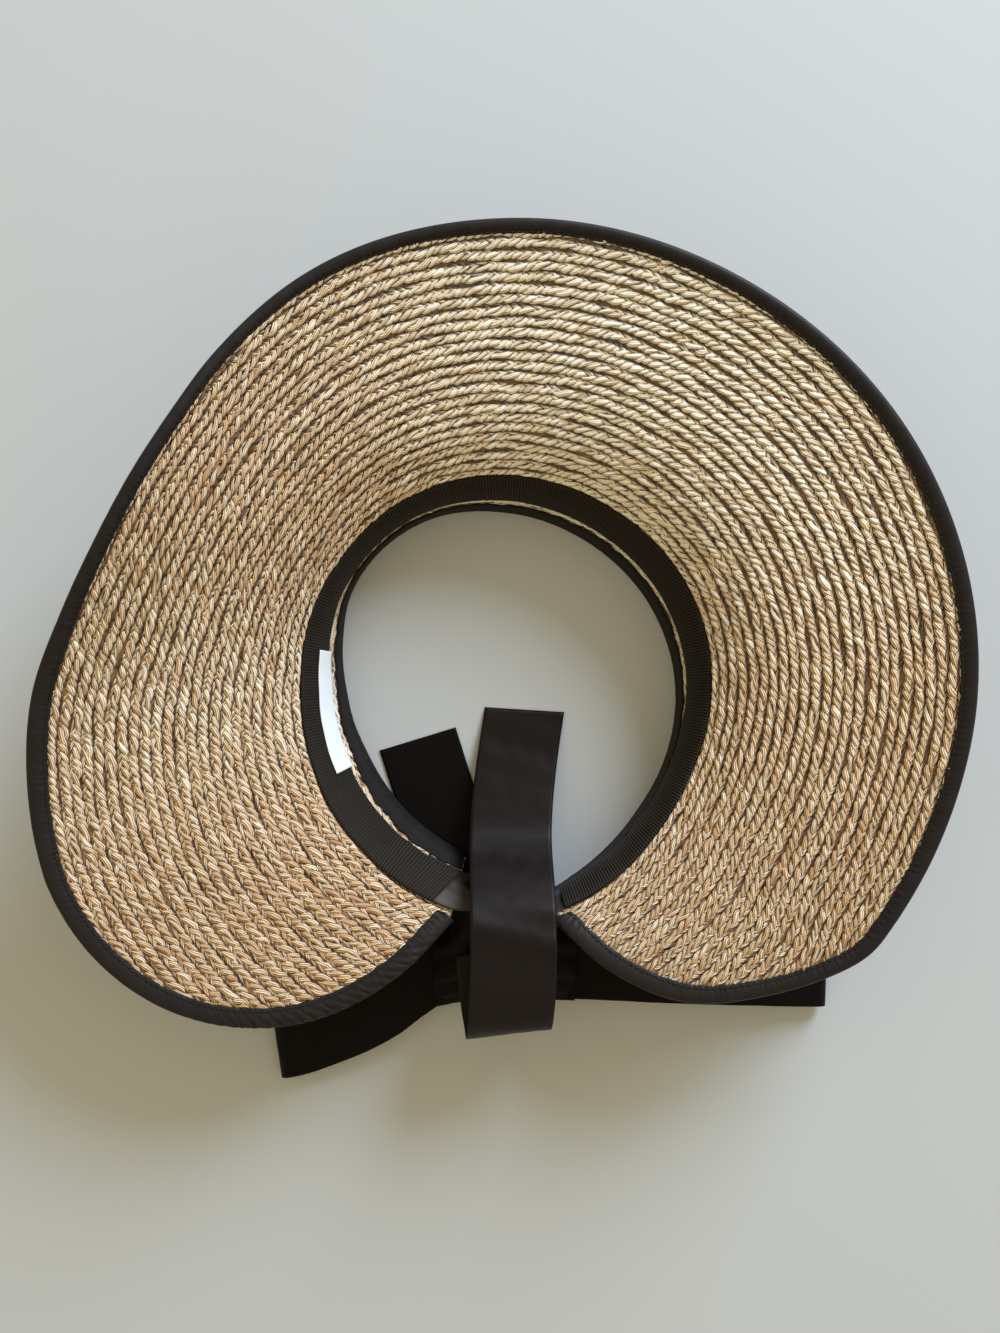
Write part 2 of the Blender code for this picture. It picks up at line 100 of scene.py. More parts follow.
# Ends are angles round the head, tops are distances down the collar from the seam, and seats are
# distances from the middle of the wall to what lies on it
COLLAR_WIDTH = 38.5
STRAW_ENDS = (-78.0, 255.5)
CROWN_TAPE_ENDS = (-77.0, 255.0)
CROWN_TAPE_WIDTH = 26.0
SWEATBAND_ENDS = (-75.0, 249.7)
SWEATBAND_END_SLANT = 5.3
SWEATBAND_WIDTH = 24.4
SWEATBAND_TOP = 0.7
SWEATBAND_SEAT = 0.9
# The share of its width that the sweatband is eased in by, and the angles over which that comes
EASED_SHARE = 0.11
EASED_FROM = (-30.0, 10.0)
STRAP_ENDS = (243.5, 292.0)
STRAP_TOP = 1.2
STRAP_WIDTH = 24.0
# How much further off the straw the sweatband is where the strap is under it
STRAP_STEP = 1.1
LABEL_ENDS = (167.0, 205.0)
LABEL_TOP = 11.0
LABEL_WIDTH = 12.0
LABEL_SEAT = 1.85
RIBBON_WIDTH = 38.0
# The long tail's crease: how far back it crosses the ribbon's middle, its depth, and its half width
CREASE_Y = -106.0
CREASE_DEPTH = 1.5
CREASE_WIDTH = 6.0
# The least room between a ribbon and the table
TABLE_GAP = 0.05

# Each ribbon's route, as the CAD part has it: its middle, and the heading of its width in degrees
LEFT_LOOP = (
    (-31.4, -126.0, 2.7, 92.0), (-38.0, -129.5, 2.4, 101.0), (-47.0, -134.5, 2.0, 109.0),
    (-59.3, -143.1, 1.5, 115.0), (-72.0, -150.5, 1.1, 112.0), (-86.0, -156.5, 0.9, 108.0),
    (-103.0, -162.6, 1.0, 100.5), (-108.9, -163.8, 1.9, 98.5), (-110.3, -164.0, 4.0, 98.5),
    (-108.6, -163.7, 6.2, 98.5), (-102.0, -162.2, 7.6, 100.5), (-86.0, -156.3, 9.4, 108.0),
    (-72.0, -150.2, 10.6, 112.0), (-59.0, -142.8, 11.2, 115.0), (-47.0, -134.3, 11.2, 109.0),
    (-38.0, -129.3, 10.6, 101.0), (-31.4, -126.0, 9.8, 92.0),
)
RIGHT_LOOP = (
    (28.0, -124.9, 2.6, 90.0), (45.0, -125.4, 2.1, 89.5), (68.0, -126.4, 1.5, 88.5),
    (92.0, -127.5, 1.0, 88.0), (120.0, -128.6, 0.9, 88.0), (142.0, -129.3, 1.0, 88.0),
    (149.8, -129.6, 1.9, 88.0), (151.3, -129.7, 4.0, 88.0), (149.6, -129.6, 6.0, 88.0),
    (142.0, -129.3, 7.4, 88.0), (116.0, -128.4, 9.2, 88.0), (92.0, -127.4, 10.8, 88.0),
    (68.0, -126.3, 11.4, 88.5), (45.0, -125.3, 11.0, 89.5), (28.0, -124.9, 9.9, 90.0),
)
LONG_TAIL = (
    (-5.0, -120.0, 20.8, 2.0), (-4.4, -132.0, 20.5, 3.0), (-2.6, -144.0, 24.0, 5.0),
    (-1.0, -150.6, 30.2, 6.4), (-0.3, -152.4, 37.0, 6.4), (0.3, -149.6, 44.0, 5.5),
    (1.0, -142.0, 49.2, 4.0), (1.7, -130.0, 51.4, 1.5), (2.1, -117.0, 51.2, 0.0),
    (2.1, -106.0, 50.2, 0.0), (2.0, -96.0, 47.4, 0.0), (1.8, -88.0, 41.2, 0.0),
    (1.5, -80.0, 32.4, 0.0), (1.2, -72.5, 23.4, -0.5), (1.2, -66.0, 17.6, -1.5),
    (1.9, -53.0, 12.2, -2.6), (3.4, -38.5, 7.4, -3.4), (5.5, -23.5, 3.4, -3.6),
    (7.9, -8.2, 0.5, -3.6),
)
SHORT_TAIL = (
    (-16.9, -106.2, 0.5, 17.0), (-30.0, -64.2, 0.5, 17.0), (-43.25, -22.2, 0.5, 17.0),
)

# The bow's gathered middle: a row for each section along the wearer's back, with its x, the y and z
# of its inner edge, the y and z of its outer edge, its crest's z, and whether it lies on the strap
KNOT = (
    (-35.0, -106.0, 9.5, -147.5, 7.5, 13.6, 0.0),
    (-26.0, -102.5, 12.0, -145.5, 8.0, 15.0, 0.0),
    (-19.0, -96.0, 16.0, -144.0, 8.0, 16.5, 1.0),
    (-9.0, -95.0, 18.0, -144.0, 8.5, 17.5, 1.0),
    (2.0, -95.0, 18.0, -144.0, 8.5, 17.5, 1.0),
    (14.0, -96.0, 17.0, -143.5, 8.0, 16.5, 1.0),
    (22.0, -102.5, 12.0, -144.0, 8.0, 15.0, 0.0),
    (31.5, -104.0, 9.5, -144.5, 7.5, 13.4, 0.0),
)
KNOT_FLOOR = 1.5
# The lowest that its pleats go, the y and z that they rise from, and how far the strap's outer face is
# from the middle of the wall
KNOT_LOWEST = 0.4
KNOT_HEART = (-120.0, 9.0)
KNOT_INSET = 0.6
STRAP_FACE = 0.8
# Pleats beside the wrapped band, and the folds of the band itself, whose middle is at WRAP_X
PLEATS = 11
PLEAT_DEPTH = 0.9
WRAP_X = -1.5
WRAP_SPACING = 5.2
WRAP_DEPTH = 0.55

# Smooth curves and the wall


def eased(start, end, first, last, t):
    """A smooth way from start to end as t goes from 0 to 1, with a given slope at each end."""
    return (
        start * (1 + 2 * t) * (1 - t) ** 2
        + end * t * t * (3 - 2 * t)
        + first * t * (1 - t) ** 2
        - last * t * t * (1 - t)
    )


def smooth_curve(knots, values):
    """A function of a number or an array that passes smoothly through the given values."""
    knots = np.array(knots, float)
    values = np.array(values, float)
    spans = np.diff(knots)
    chords = np.diff(values) / spans
    slopes = np.empty_like(values)
    slopes[0] = chords[0]
    slopes[-1] = chords[-1]
    slopes[1:-1] = (chords[:-1] * spans[1:] + chords[1:] * spans[:-1]) / (spans[1:] + spans[:-1])

    def value(place):
        i = np.clip(np.searchsorted(knots, place, side="right") - 1, 0, len(knots) - 2)
        t = (place - knots[i]) / spans[i]
        return eased(values[i], values[i + 1], slopes[i] * spans[i], slopes[i + 1] * spans[i], t)

    return value


def closed_curves(rows, columns):
    """One smooth function of the angle for each column, repeating every full turn."""
    wrapped = [(row, turn) for turn in (-360.0, 0.0, 360.0) for row in rows]
    angles = [row[0] + turn for row, turn in wrapped]
    return {
        name: smooth_curve(angles, [row[number] for row, turn in wrapped])
        for number, name in enumerate(columns)
        if name != "angle"
    }


WALL = closed_curves(STATIONS, COLUMNS)
brim_tape_reach = smooth_curve(*zip(*BRIM_TAPE))
# Painted light and shade on the straw, by the angle round the head
straw_painted_light = smooth_curve(*zip(*PAINTED_LIGHT_ROUND_HEAD))


def size_of(vectors):
    """How long each vector is."""
    return np.linalg.norm(vectors, axis=-1, keepdims=True)


def unit(vectors):
    """The same directions, each one long."""
    return vectors / size_of(vectors)


def ramp(place, start, end):
    """0 before the start and 1 past the end, with a smooth rise between them."""
    share = np.clip((place - start) / (end - start), 0.0, 1.0)
    return share * share * (3 - 2 * share)


def kept_share(angle):
    """The share of the full brim width that the rounded rear corners leave."""
    return np.clip(WALL["kept"](angle), 0.02, 1.0)


def rear_share(angle):
    """1 at the visor's rear and 0 round its front, with a smooth change at both sides."""
    return 1 - ramp(angle, -45.0, -5.0) * (1 - ramp(angle, 165.0, 195.0))


def wall_point(angle, across):
    """Points on the middle of the wall: -1 is the crown edge, 0 the seam, 1 the full brim."""
    lines = ("crown", "seam", "edge")
    crown, seam, edge = (
        np.stack([WALL[line + "_r"](angle), WALL[line + "_z"](angle)], -1) for line in lines
    )
    collar = seam - crown
    brim = edge - seam
    turn = unit(unit(collar) * SEAM_ROUNDING + unit(brim) * (1 - SEAM_ROUNDING))
    on_collar = (across < 0)[..., None]
    place = eased(
        np.where(on_collar, crown, seam),
        np.where(on_collar, seam, edge),
        np.where(on_collar, collar, turn * size_of(brim)),
        np.where(on_collar, turn * size_of(collar), brim),
        np.where(across < 0, across + 1, across)[..., None],
    )
    turned = np.radians(angle)
    radius = place[..., 0]
    return np.stack([radius * np.cos(turned), radius * np.sin(turned), place[..., 1]], -1)


def wall_steps(angle, across):
    """How the wall's middle moves for one degree round and for one unit across."""
    step_round = 0.25
    step_across = 0.01
    low = np.maximum(across - step_across, -1.0)
    high = np.minimum(across + step_across, 1.0)
    # The seam is a bend, so no step goes over it
    high = np.where((across < 0) & (high > 0), across, high)
    low = np.where((low < 0) & (across >= 0), across, low)
    round_step = wall_point(angle + step_round, across) - wall_point(angle - step_round, across)
    across_step = wall_point(angle, high) - wall_point(angle, low)
    return round_step / (2 * step_round), across_step / (high - low)[..., None]


def wall_normal(angle, across):
    """The wall's direction on its head side, which is the upper side of the brim as it lies."""
    round_step, across_step = wall_steps(angle, across)
    return unit(np.cross(across_step, round_step))


def beside_wall(angle, across, offset):
    """Points at a distance from the middle of the wall, towards the head side."""
    return wall_point(angle, across) + wall_normal(angle, across) * np.asarray(offset)[..., None]


def lengths_along(points):
    """The distance from the first point to each point of a line."""
    steps = np.linalg.norm(np.diff(points, axis=0), axis=-1)
    return np.concatenate([[0.0], np.cumsum(steps)])


def line_round(ends, across, samples):
    """A line round the head at a steady place across the wall: its angles and the lengths to them."""
    angles = np.linspace(*ends, samples)
    return angles, lengths_along(wall_point(angles, np.full_like(angles, across)))


def random_wave(rng, shortest, longest):
    """A smooth, irregular function of a length, mostly between -1 and 1.

    Read some way along, one wave also serves as another."""
    count = 5
    periods = np.geomspace(shortest, longest, count) * rng.uniform(0.85, 1.15, count)
    starts = rng.uniform(0, math.tau, count)

    def value(place):
        waves = np.sin(np.asarray(place, float)[..., None] * (math.tau / periods) + starts)
        return waves.sum(-1) / math.sqrt(count)

    return value


# Meshes


def use_only(*objects):
    """Select these objects alone, so that an operator acts on nothing else."""
    for other in bpy.context.selected_objects:
        other.select_set(False)
    for obj in objects:
        obj.select_set(True)
        bpy.context.view_layer.objects.active = obj


def linked_object(name, mesh):
    """A smooth object in the scene from a finished mesh."""
    mesh.shade_smooth()
    obj = bpy.data.objects.new(name, mesh)
    bpy.context.scene.collection.objects.link(obj)
    return obj


def array_mesh(name, points, quads, uv, **point_values):
    """An object from arrays: points in millimetres, four corners a face, and values of each point."""
    mesh = bpy.data.meshes.new(name)
    mesh.vertices.add(len(points))
    mesh.vertices.foreach_set("co", (points * MM).astype(np.float32).ravel())
    mesh.loops.add(quads.size)
    mesh.loops.foreach_set("vertex_index", quads.astype(np.int32).ravel())
    mesh.polygons.add(len(quads))
    mesh.polygons.foreach_set("loop_start", np.arange(0, quads.size, 4, dtype=np.int32))
    mesh.update(calc_edges=True)
    layer = mesh.uv_layers.new(name="strand_uv")
    layer.uv.foreach_set("vector", uv[quads.ravel()].astype(np.float32).ravel())
    for value_name, values in point_values.items():
        layer = mesh.attributes.new(value_name, "FLOAT", "POINT")
        layer.data.foreach_set("value", values.astype(np.float32))
    return linked_object(name, mesh)


def laid_sheet(name, length, width, columns, rows, lay):
    """A flat sheet, cut to its length along X and width along Y, and laid point by point.

    lay takes arrays of the distances along and across the cut and gives the points."""
    use_only()
    bpy.ops.mesh.primitive_grid_add(x_subdivisions=columns, y_subdivisions=rows, size=2.0)
    obj = bpy.context.object
    obj.name = name
    mesh = obj.data
    mesh.name = name
    flat = np.empty(len(mesh.vertices) * 3)
    mesh.vertices.foreach_get("co", flat)
    flat = flat.reshape(-1, 3)
    along = (flat[:, 0] + 1) / 2 * length
    across = (flat[:, 1] + 1) / 2 * width
    mesh.vertices.foreach_set("co", (lay(along, across) * MM).ravel())
    layer = mesh.uv_layers[0]
    layer.name = "cloth_uv"
    corners = np.empty(len(mesh.loops), np.int32)
    mesh.loops.foreach_get("vertex_index", corners)
    layer.uv.foreach_set("vector", np.stack([along, across], -1)[corners].astype(np.float32).ravel())
    mesh.update()
    mesh.shade_smooth()
    return obj


def give_wall(obj, wall, side):
    """Give a sheet its thickness in millimetres: out of its face at 1, behind it at -1, both at 0."""
    modifier = obj.modifiers.new("wall", "SOLIDIFY")
    modifier.thickness = wall * MM
    modifier.offset = side
    use_only(obj)
    bpy.ops.object.modifier_apply(modifier=modifier.name)


def finish_piece(obj, material, node):
    """Give a piece its material and tie it to the CAD node that it stands for."""
    obj.data.materials.clear()
    obj.data.materials.append(material)
    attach(obj, BODY)
    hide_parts(node)


def finish_sheet(obj, material, node, flat, held, rests_on):
    finish_piece(obj, material, node)


# Materials


# How far apart a wave texture's bands are at scale 1
WAVE_SPACING = 0.314


def srgb(code):
    """A hex colour as linear red, green, blue and alpha."""
    parts = [int(code[i : i + 2], 16) / 255 for i in (1, 3, 5)]
    linear = [p / 12.92 if p <= 0.04045 else ((p + 0.055) / 1.055) ** 2.4 for p in parts]
    return (*linear, 1.0)


def colour(setting):
    """A colour setting, which is linear already, with alpha."""
    return (*setting, 1.0)


def set_inputs(material, node, inputs):
    """Give a node's inputs their values. An input that is given a socket is linked to it."""
    for name, value in inputs.items():
        if isinstance(value, bpy.types.NodeSocket):
            material.node_tree.links.new(value, node.inputs[name])
        else:
            node.inputs[name].default_value = value


def add_node(material, kind, inputs=None, **settings):
    """Add a node with its settings and its inputs."""
    node = material.node_tree.nodes.new("ShaderNode" + kind)
    for name, value in settings.items():
        setattr(node, name, value)
    set_inputs(material, node, inputs or {})
    return node


def new_material(name):
    """A material with a Principled BSDF. Returns both."""
    material = bpy.data.materials.new(name)
    material.use_nodes = True
    return material, material.node_tree.nodes["Principled BSDF"]


def woven_raffia(colours):
    """Raffia palm strands, split and plaited dry: matt cream fibre with fine lengthwise streaks.

    The rows are lapped, so each has a painted shadow line where the next row's edge lies over it, and the
    grooves between strands are painted with shade."""
    material, shader = new_material("woven_raffia")
    uv = add_node(material, "UVMap", uv_map="strand_uv").outputs[0]
    # Streaks of tone are 0.6 mm wide, and run 6 mm along the strand
    stretched = add_node(material, "Mapping", {"Vector": uv, "Scale": (0.17, 1.6, 1.0)})
    streaks = add_node(
        material,
        "TexNoise",
        {"Vector": stretched.outputs[0], "Scale": 1.0, "Detail": 3.0, "Roughness": 0.6},
    )
    # Each strand is a bundle of about three split fibres, 0.75 mm apart, with uneven gaps
    bands = {"Scale": WAVE_SPACING / 0.75, "Distortion": 3.2, "Detail": 2.0, "Detail Scale": 0.9}
    fibres = add_node(material, "TexWave", {"Vector": uv, **bands}, bands_direction="Y")
    # Attributes of the strands: their own tone with painted light and shade added, the painted shade in
    # the grooves, and the painted shadow under the next row's edge
    tint, groove, lap = (
        add_node(material, "Attribute", attribute_name=name).outputs["Fac"]
        for name in ("tint", "groove", "lap")
    )
    streaky = {0: streaks.outputs["Fac"], 1: 0.8, 2: tint}
    streaky = add_node(material, "Math", streaky, operation="MULTIPLY_ADD")
    split = {0: fibres.outputs["Fac"], 1: 0.42, 2: streaky.outputs[0]}
    split = add_node(material, "Math", split, operation="MULTIPLY_ADD")
    shades = add_node(material, "ValToRGB", {"Fac": split.outputs[0]})
    stops = ((0.38, colours.straw_dark), (0.56, colours.straw), (0.84, colours.straw_light))
    shades.color_ramp.elements.new(stops[1][0])
    for element, (position, tone) in zip(shades.color_ramp.elements, stops):
        element.position = position
        element.color = colour(tone)
    # Painted shade in the grooves between neighbouring strands, and a painted shadow line under the next
    # row's edge
    dark = [
        add_node(
            material,
            "MapRange",
            {"Value": value, "From Min": start, "From Max": end, "To Max": most},
            interpolation_type="SMOOTHSTEP",
        ).outputs[0]
        for value, start, end, most in ((groove, 0.5, 1.0, 0.62), (lap, 0.25, 0.85, 0.9))
    ]
    painted_shade = add_node(material, "Math", {0: dark[0], 1: dark[1]}, operation="MAXIMUM")
    shaded = {0: painted_shade.outputs[0], 6: shades.outputs["Color"], 7: colour(colours.straw_gap_shade)}
    shaded = add_node(material, "Mix", shaded, data_type="RGBA")
    rough = {"Value": streaks.outputs["Fac"], "To Min": 0.4, "To Max": 0.7}
    rough = add_node(material, "MapRange", rough)
    bump = {"Height": split.outputs[0], "Strength": 1.0, "Distance": 0.4 * MM}
    bump = add_node(material, "Bump", bump)
    surface = {
        "IOR": 1.45,
        "Specular IOR Level": 0.4,
        "Base Color": shaded.outputs[2],
        "Roughness": rough.outputs[0],
        "Normal": bump.outputs[0],
    }
    set_inputs(material, shader, surface)
    return material


# Materials of two close tones: the size of their patches in millimetres, how much detail these have,
# the roughness, and the two colour settings
MOTTLED = {
    # The lapped inner edges of the plait, seen only between the rows: dull straw, painted dark as the
    # shade between the rows
    "raffia_ground_shade": (5 / 3, 2.0, 0.8, "straw_gap_shade", "straw_dark"),
    # Polyester sewing thread, spun and twisted: dull black with a faint shine
    "sewing_thread": (0.4, 1.0, 0.6, "tape", "thread"),
    # A painted tabletop: pale, matt and very slightly mottled
    "matt_tabletop": (1000 / 3, 2.0, 0.75, "table", "table_warm"),
}


def mottled(name, colours):
    """One of the materials of two close tones."""
    patch, detail, roughness, dark, light = MOTTLED[name]
    material, shader = new_material(name)
    place = add_node(material, "TexCoord").outputs["Object"]
    grain = {"Vector": place, "Scale": 1 / (patch * MM), "Detail": detail}
    grain = add_node(material, "TexNoise", grain)
    dark, light = (colour(getattr(colours, setting)) for setting in (dark, light))
    tones = {0: grain.outputs["Fac"], 6: dark, 7: light}
    tones = add_node(material, "Mix", tones, data_type="RGBA")
    set_inputs(material, shader, {"IOR": 1.45, "Roughness": roughness, "Base Color": tones.outputs[2]})
    return material


# Woven ribbons: the colour setting, the spacing of the weft and of the warp in millimetres, the
# roughness, sheen, relief and gloss, and the share of the tone that drifts over the cloth
CLOTHS = {
    # Polyester bias tape, cut across its weave: dull black, with a soft shine along its folds
    "bias_tape": ("tape", 0.45, 0.45, 0.45, 0.04, 0.5, 0.22, 0.5),
    # The same tape on the crown edge, rubbed flat and dull
    "crown_bias_tape": ("tape", 0.45, 0.45, 0.6, 0.02, 0.5, 0.1, 0.5),
    # Cotton grosgrain, woven with thick weft ribs: brown-black and matt
    "grosgrain": ("band", 1.3, 0.9, 0.6, 0.02, 0.35, 0.12, 0.2),
    # Polyester satin, woven with long floating threads: smooth, with a broad faint shine
    "strap_satin": ("strap", 0.3, 0.3, 0.4, 0.05, 0.3, 0.3, 0.5),
    "label_satin": ("label", 0.3, 0.3, 0.45, 0.1, 0.3, 0.3, 0.5),
    # The bow's satin from behind, and its face, which is shinier and is also painted lighter and browner,
    # as painted light on the long tail
    "black_satin": ("satin", 0.35, 0.35, 0.38, 0.01, 0.3, 0.09, 0.5),
    "black_satin_lit_face": ("satin_face", 0.35, 0.35, 0.38, 0.01, 0.3, 0.22, 0.5),
}
# Dyed thread shines slightly brown
THREAD_SHINE = "#FFEFE3"


def woven_cloth(name, colours):
    """One of the ribbons: crossed threads as fine bump, and a slow unevenness of tone."""
    setting, weft, warp, roughness, sheen, relief, gloss, uneven = CLOTHS[name]
    material, shader = new_material(name)
    uv = add_node(material, "UVMap", uv_map="cloth_uv").outputs[0]
    waves = [
        add_node(
            material,
            "TexWave",
            {"Vector": uv, "Scale": WAVE_SPACING / spacing, "Distortion": 0.4, "Detail": 1.0},
            bands_direction=direction,
        )
        for direction, spacing in (("X", weft), ("Y", warp))
    ]
    crossed = {0: waves[0].outputs["Fac"], 1: waves[1].outputs["Fac"]}
    crossed = add_node(material, "Math", crossed, operation="MULTIPLY")
    # The tone drifts in patches of about 8 mm
    drift = add_node(
        material, "TexNoise", {"Vector": uv, "Scale": 0.12, "Detail": 6.0, "Roughness": 0.74}
    ).outputs["Fac"]
    drifting = add_node(material, "Math", {0: drift, 1: uneven}, operation="MULTIPLY")
    tone = {0: crossed.outputs[0], 1: 1 - uneven, 2: drifting.outputs[0]}
    tone = add_node(material, "Math", tone, operation="MULTIPLY_ADD")
    dark, light = (colour(getattr(colours, setting + ending)) for ending in ("", "_light"))
    tones = {0: tone.outputs[0], 6: dark, 7: light}
    tones = add_node(material, "Mix", tones, data_type="RGBA")
    rough = {"Value": drift, "To Min": roughness - 0.06, "To Max": roughness + 0.06}
    rough = add_node(material, "MapRange", rough)
    bump = {"Height": crossed.outputs[0], "Strength": relief, "Distance": 0.08 * MM}
    bump = add_node(material, "Bump", bump)
    surface = {
        "IOR": 1.4,
        "Specular IOR Level": gloss,
        "Specular Tint": srgb(THREAD_SHINE),
        "Sheen Weight": sheen,
        "Sheen Roughness": 0.4,
        "Base Color": tones.outputs[2],
        "Roughness": rough.outputs[0],
        "Normal": bump.outputs[0],
    }
    set_inputs(material, shader, surface)
    return material


# Settings


def size_setting(label, default, description):
    """A length in millimetres that a user may change."""
    return bpy.props.FloatProperty(name=label, default=default, description=description, min=0.01)


def row_setting(label, default, description):
    """A number of rows that a user may change."""
    return bpy.props.IntProperty(name=label, default=default, description=description, min=4)


def colour_setting(label, code, description):
    """A colour that a user may change, given as sRGB hex."""
    return bpy.props.FloatVectorProperty(
        name=label, default=srgb(code)[:3], description=description, subtype="COLOR", min=0.0, max=1.0
    )


class VisorSizes(bpy.types.PropertyGroup):
    """Sizes of the plait and the ribbons, in millimetres."""

    brim_rows: row_setting("Brim rows", 24, "Rows of plait from the seam to the edge")
    collar_rows: row_setting("Collar rows", 8, "Rows of plait from the seam to the crown edge")
    plait_width: size_setting("Plait width", 6.8, "Width of one plait before it is lapped")
    plait_repeat: size_setting("Plait repeat", 19.5, "Length in which a strand comes back to its place")
    strand_width: size_setting("Strand width", 2.3, "Width of one straw strand")
    strand_wall: size_setting("Strand thickness", 0.85, "Thickness of one straw strand")
    rib_spacing: size_setting("Rib spacing", 1.3, "Distance between the ribs of the sweatband")
    ribbon_wall: size_setting("Ribbon thickness", 0.5, "Thickness of the satin ribbon")


class VisorColours(bpy.types.PropertyGroup):
    """Colours of the straw, the cloth and the table."""

    straw: colour_setting("Straw", "#E7C697", "Middle tone of the straw")
    straw_light: colour_setting("Light straw", "#FCF0DC", "Palest strands")
    straw_dark: colour_setting("Dark straw", "#B0825A", "Darkest strands")
    # Painted shade: the dark colour of the gaps between rows and strands
    straw_gap_shade: colour_setting("Straw gaps", "#3A2411", "What shows between the rows")
    tape: colour_setting("Tape", "#161312", "Binding tape")
    tape_light: colour_setting("Light tape", "#302B29", "High threads of the tape")
    band: colour_setting("Sweatband", "#090706", "Grosgrain of the sweatband")
    band_light: colour_setting("Light sweatband", "#473F35", "High threads of the sweatband")
    satin: colour_setting("Satin", "#0B0909", "Bow ribbon")
    satin_light: colour_setting("Light satin", "#141111", "High threads of the bow ribbon")
    # The face's colours are lighter and browner than the satin's: painted light for the long tail in the
    # window's light
    satin_face: colour_setting("Satin face", "#110D0C", "Shiny face of the bow ribbon")
    satin_face_light: colour_setting("Light satin face", "#1F1918", "High threads of the shiny face")
    strap: colour_setting("Strap", "#2A2320", "Strap across the back")
    strap_light: colour_setting("Light strap", "#40372F", "High threads of the strap")
    label: colour_setting("Label", "#D8D8D6", "Sewn label")
    label_light: colour_setting("Light label", "#EFEFED", "High threads of the label")
    thread: colour_setting("Thread", "#1B191A", "Sewing thread on the tapes")
    table: colour_setting("Table", "#BCBCBA", "Tabletop")
    table_warm: colour_setting("Warm table", "#BEBCB8", "Tabletop, warmer patches")


# The straw


STRANDS = 5
# How many sections a strand has in one repeat of the plait
REPEAT_SECTIONS = 12
# A strand's section: shares of its half width and half thickness, and where each corner is in its UV map
SECTION_ACROSS = np.array([-1.0, 0.0, 1.0, 0.0])
SECTION_UP = np.array([0.0, 1.0, 0.0, -1.0])
SECTION_UV = np.array([0.0, 1.2, 2.4, 3.6])
# A strand goes from side to side in a zigzag. Nearer to 1, its turns are sharper
ZIGZAG = 0.96
# How uneven the plait is, in millimetres
ROW_WANDER = 0.38
ROW_SWELL = 0.18
STRAND_SHIFT = 0.26
STRAND_LIFT = 0.2
# The same as shares of a strand's lift, width and thickness, and as radians of its zigzag
LIFT_CHANGE = 0.4
WIDTH_CHANGE = 0.26
OVER_WIDENING = 0.12
WALL_CHANGE = 0.12
PULL = 0.42
# The spacing of the brim's rows at which the plait lies unstretched, and how far it stretches
EASY_SPACING = 4.25
STRETCH = (0.92, 1.3)
# The straw stops just short of the crown edge, and of the brim's edge by a length in millimetres
CROWN_STOP = -0.985
EDGE_STOP = 0.8
# How far across the plait the painted shadow line under the next row's edge starts, at the rear and at
# the front, where the light falls differently, and its waver
LAP_SHADE_REAR = -0.28
LAP_SHADE_FRONT = 0.16
LAP_SHADE_WAVER = 0.25
# A value of the painted lap shade so low that the strand has no painted shade there
NO_LAP_SHADE = -4.0
# A strand's tone: where it starts, how strands differ, how it drifts, and the painted light that being on
# top adds, which is painted shade where it goes under
TONE_BASE = -0.05
TONE_SPREAD = 0.035
TONE_DRIFT = 0.06
OVER_PAINTED_LIGHT = 0.04


class Row:
    """One row of plait: a line at a steady place across the wall, with lengths along it."""

    def __init__(self, across, start, end):
        self.across = across
        self.angles, self.places = line_round((start, end), across, 900)
        self.length = self.places[-1]

    def angle_at(self, place):
        return np.interp(place, self.places, self.angles)


def outline_distance(angle, across):
    """The distance in millimetres from points of the brim to its outline."""
    step = 0.5
    round_step, across_step = wall_steps(angle, across)
    slope = (kept_share(angle + step) - kept_share(angle - step)) / (2 * step)
    across_length = np.linalg.norm(across_step, axis=-1)
    lean = across_length * slope / np.linalg.norm(round_step, axis=-1)
    return (kept_share(angle) - across) * across_length / np.sqrt(1 + lean**2)


def rows_inside(places_across, inset):
    """Rows of the brim, each cut where it meets the outline."""
    angles = np.linspace(*STRAW_ENDS, 1400)
    rows = []
    for across in places_across:
        inside = outline_distance(angles, np.full_like(angles, across)) > inset
        rows.append(Row(across, angles[inside][0], angles[inside][-1]))
    return rows


def strand_faces(count):
    """The faces of one strand with that many sections, closed at both ends."""
    ring = np.arange(count)[:, None] * 4 + np.arange(4)
    low = ring[:-1]
    high = ring[1:]
    sides = np.stack([low, np.roll(low, -1, 1), np.roll(high, -1, 1), high], -1).reshape(-1, 4)
    caps = np.array([[3, 2, 1, 0], [0, 1, 2, 3]]) + np.array([[0], [(count - 1) * 4]])
    return np.concatenate([sides, caps])


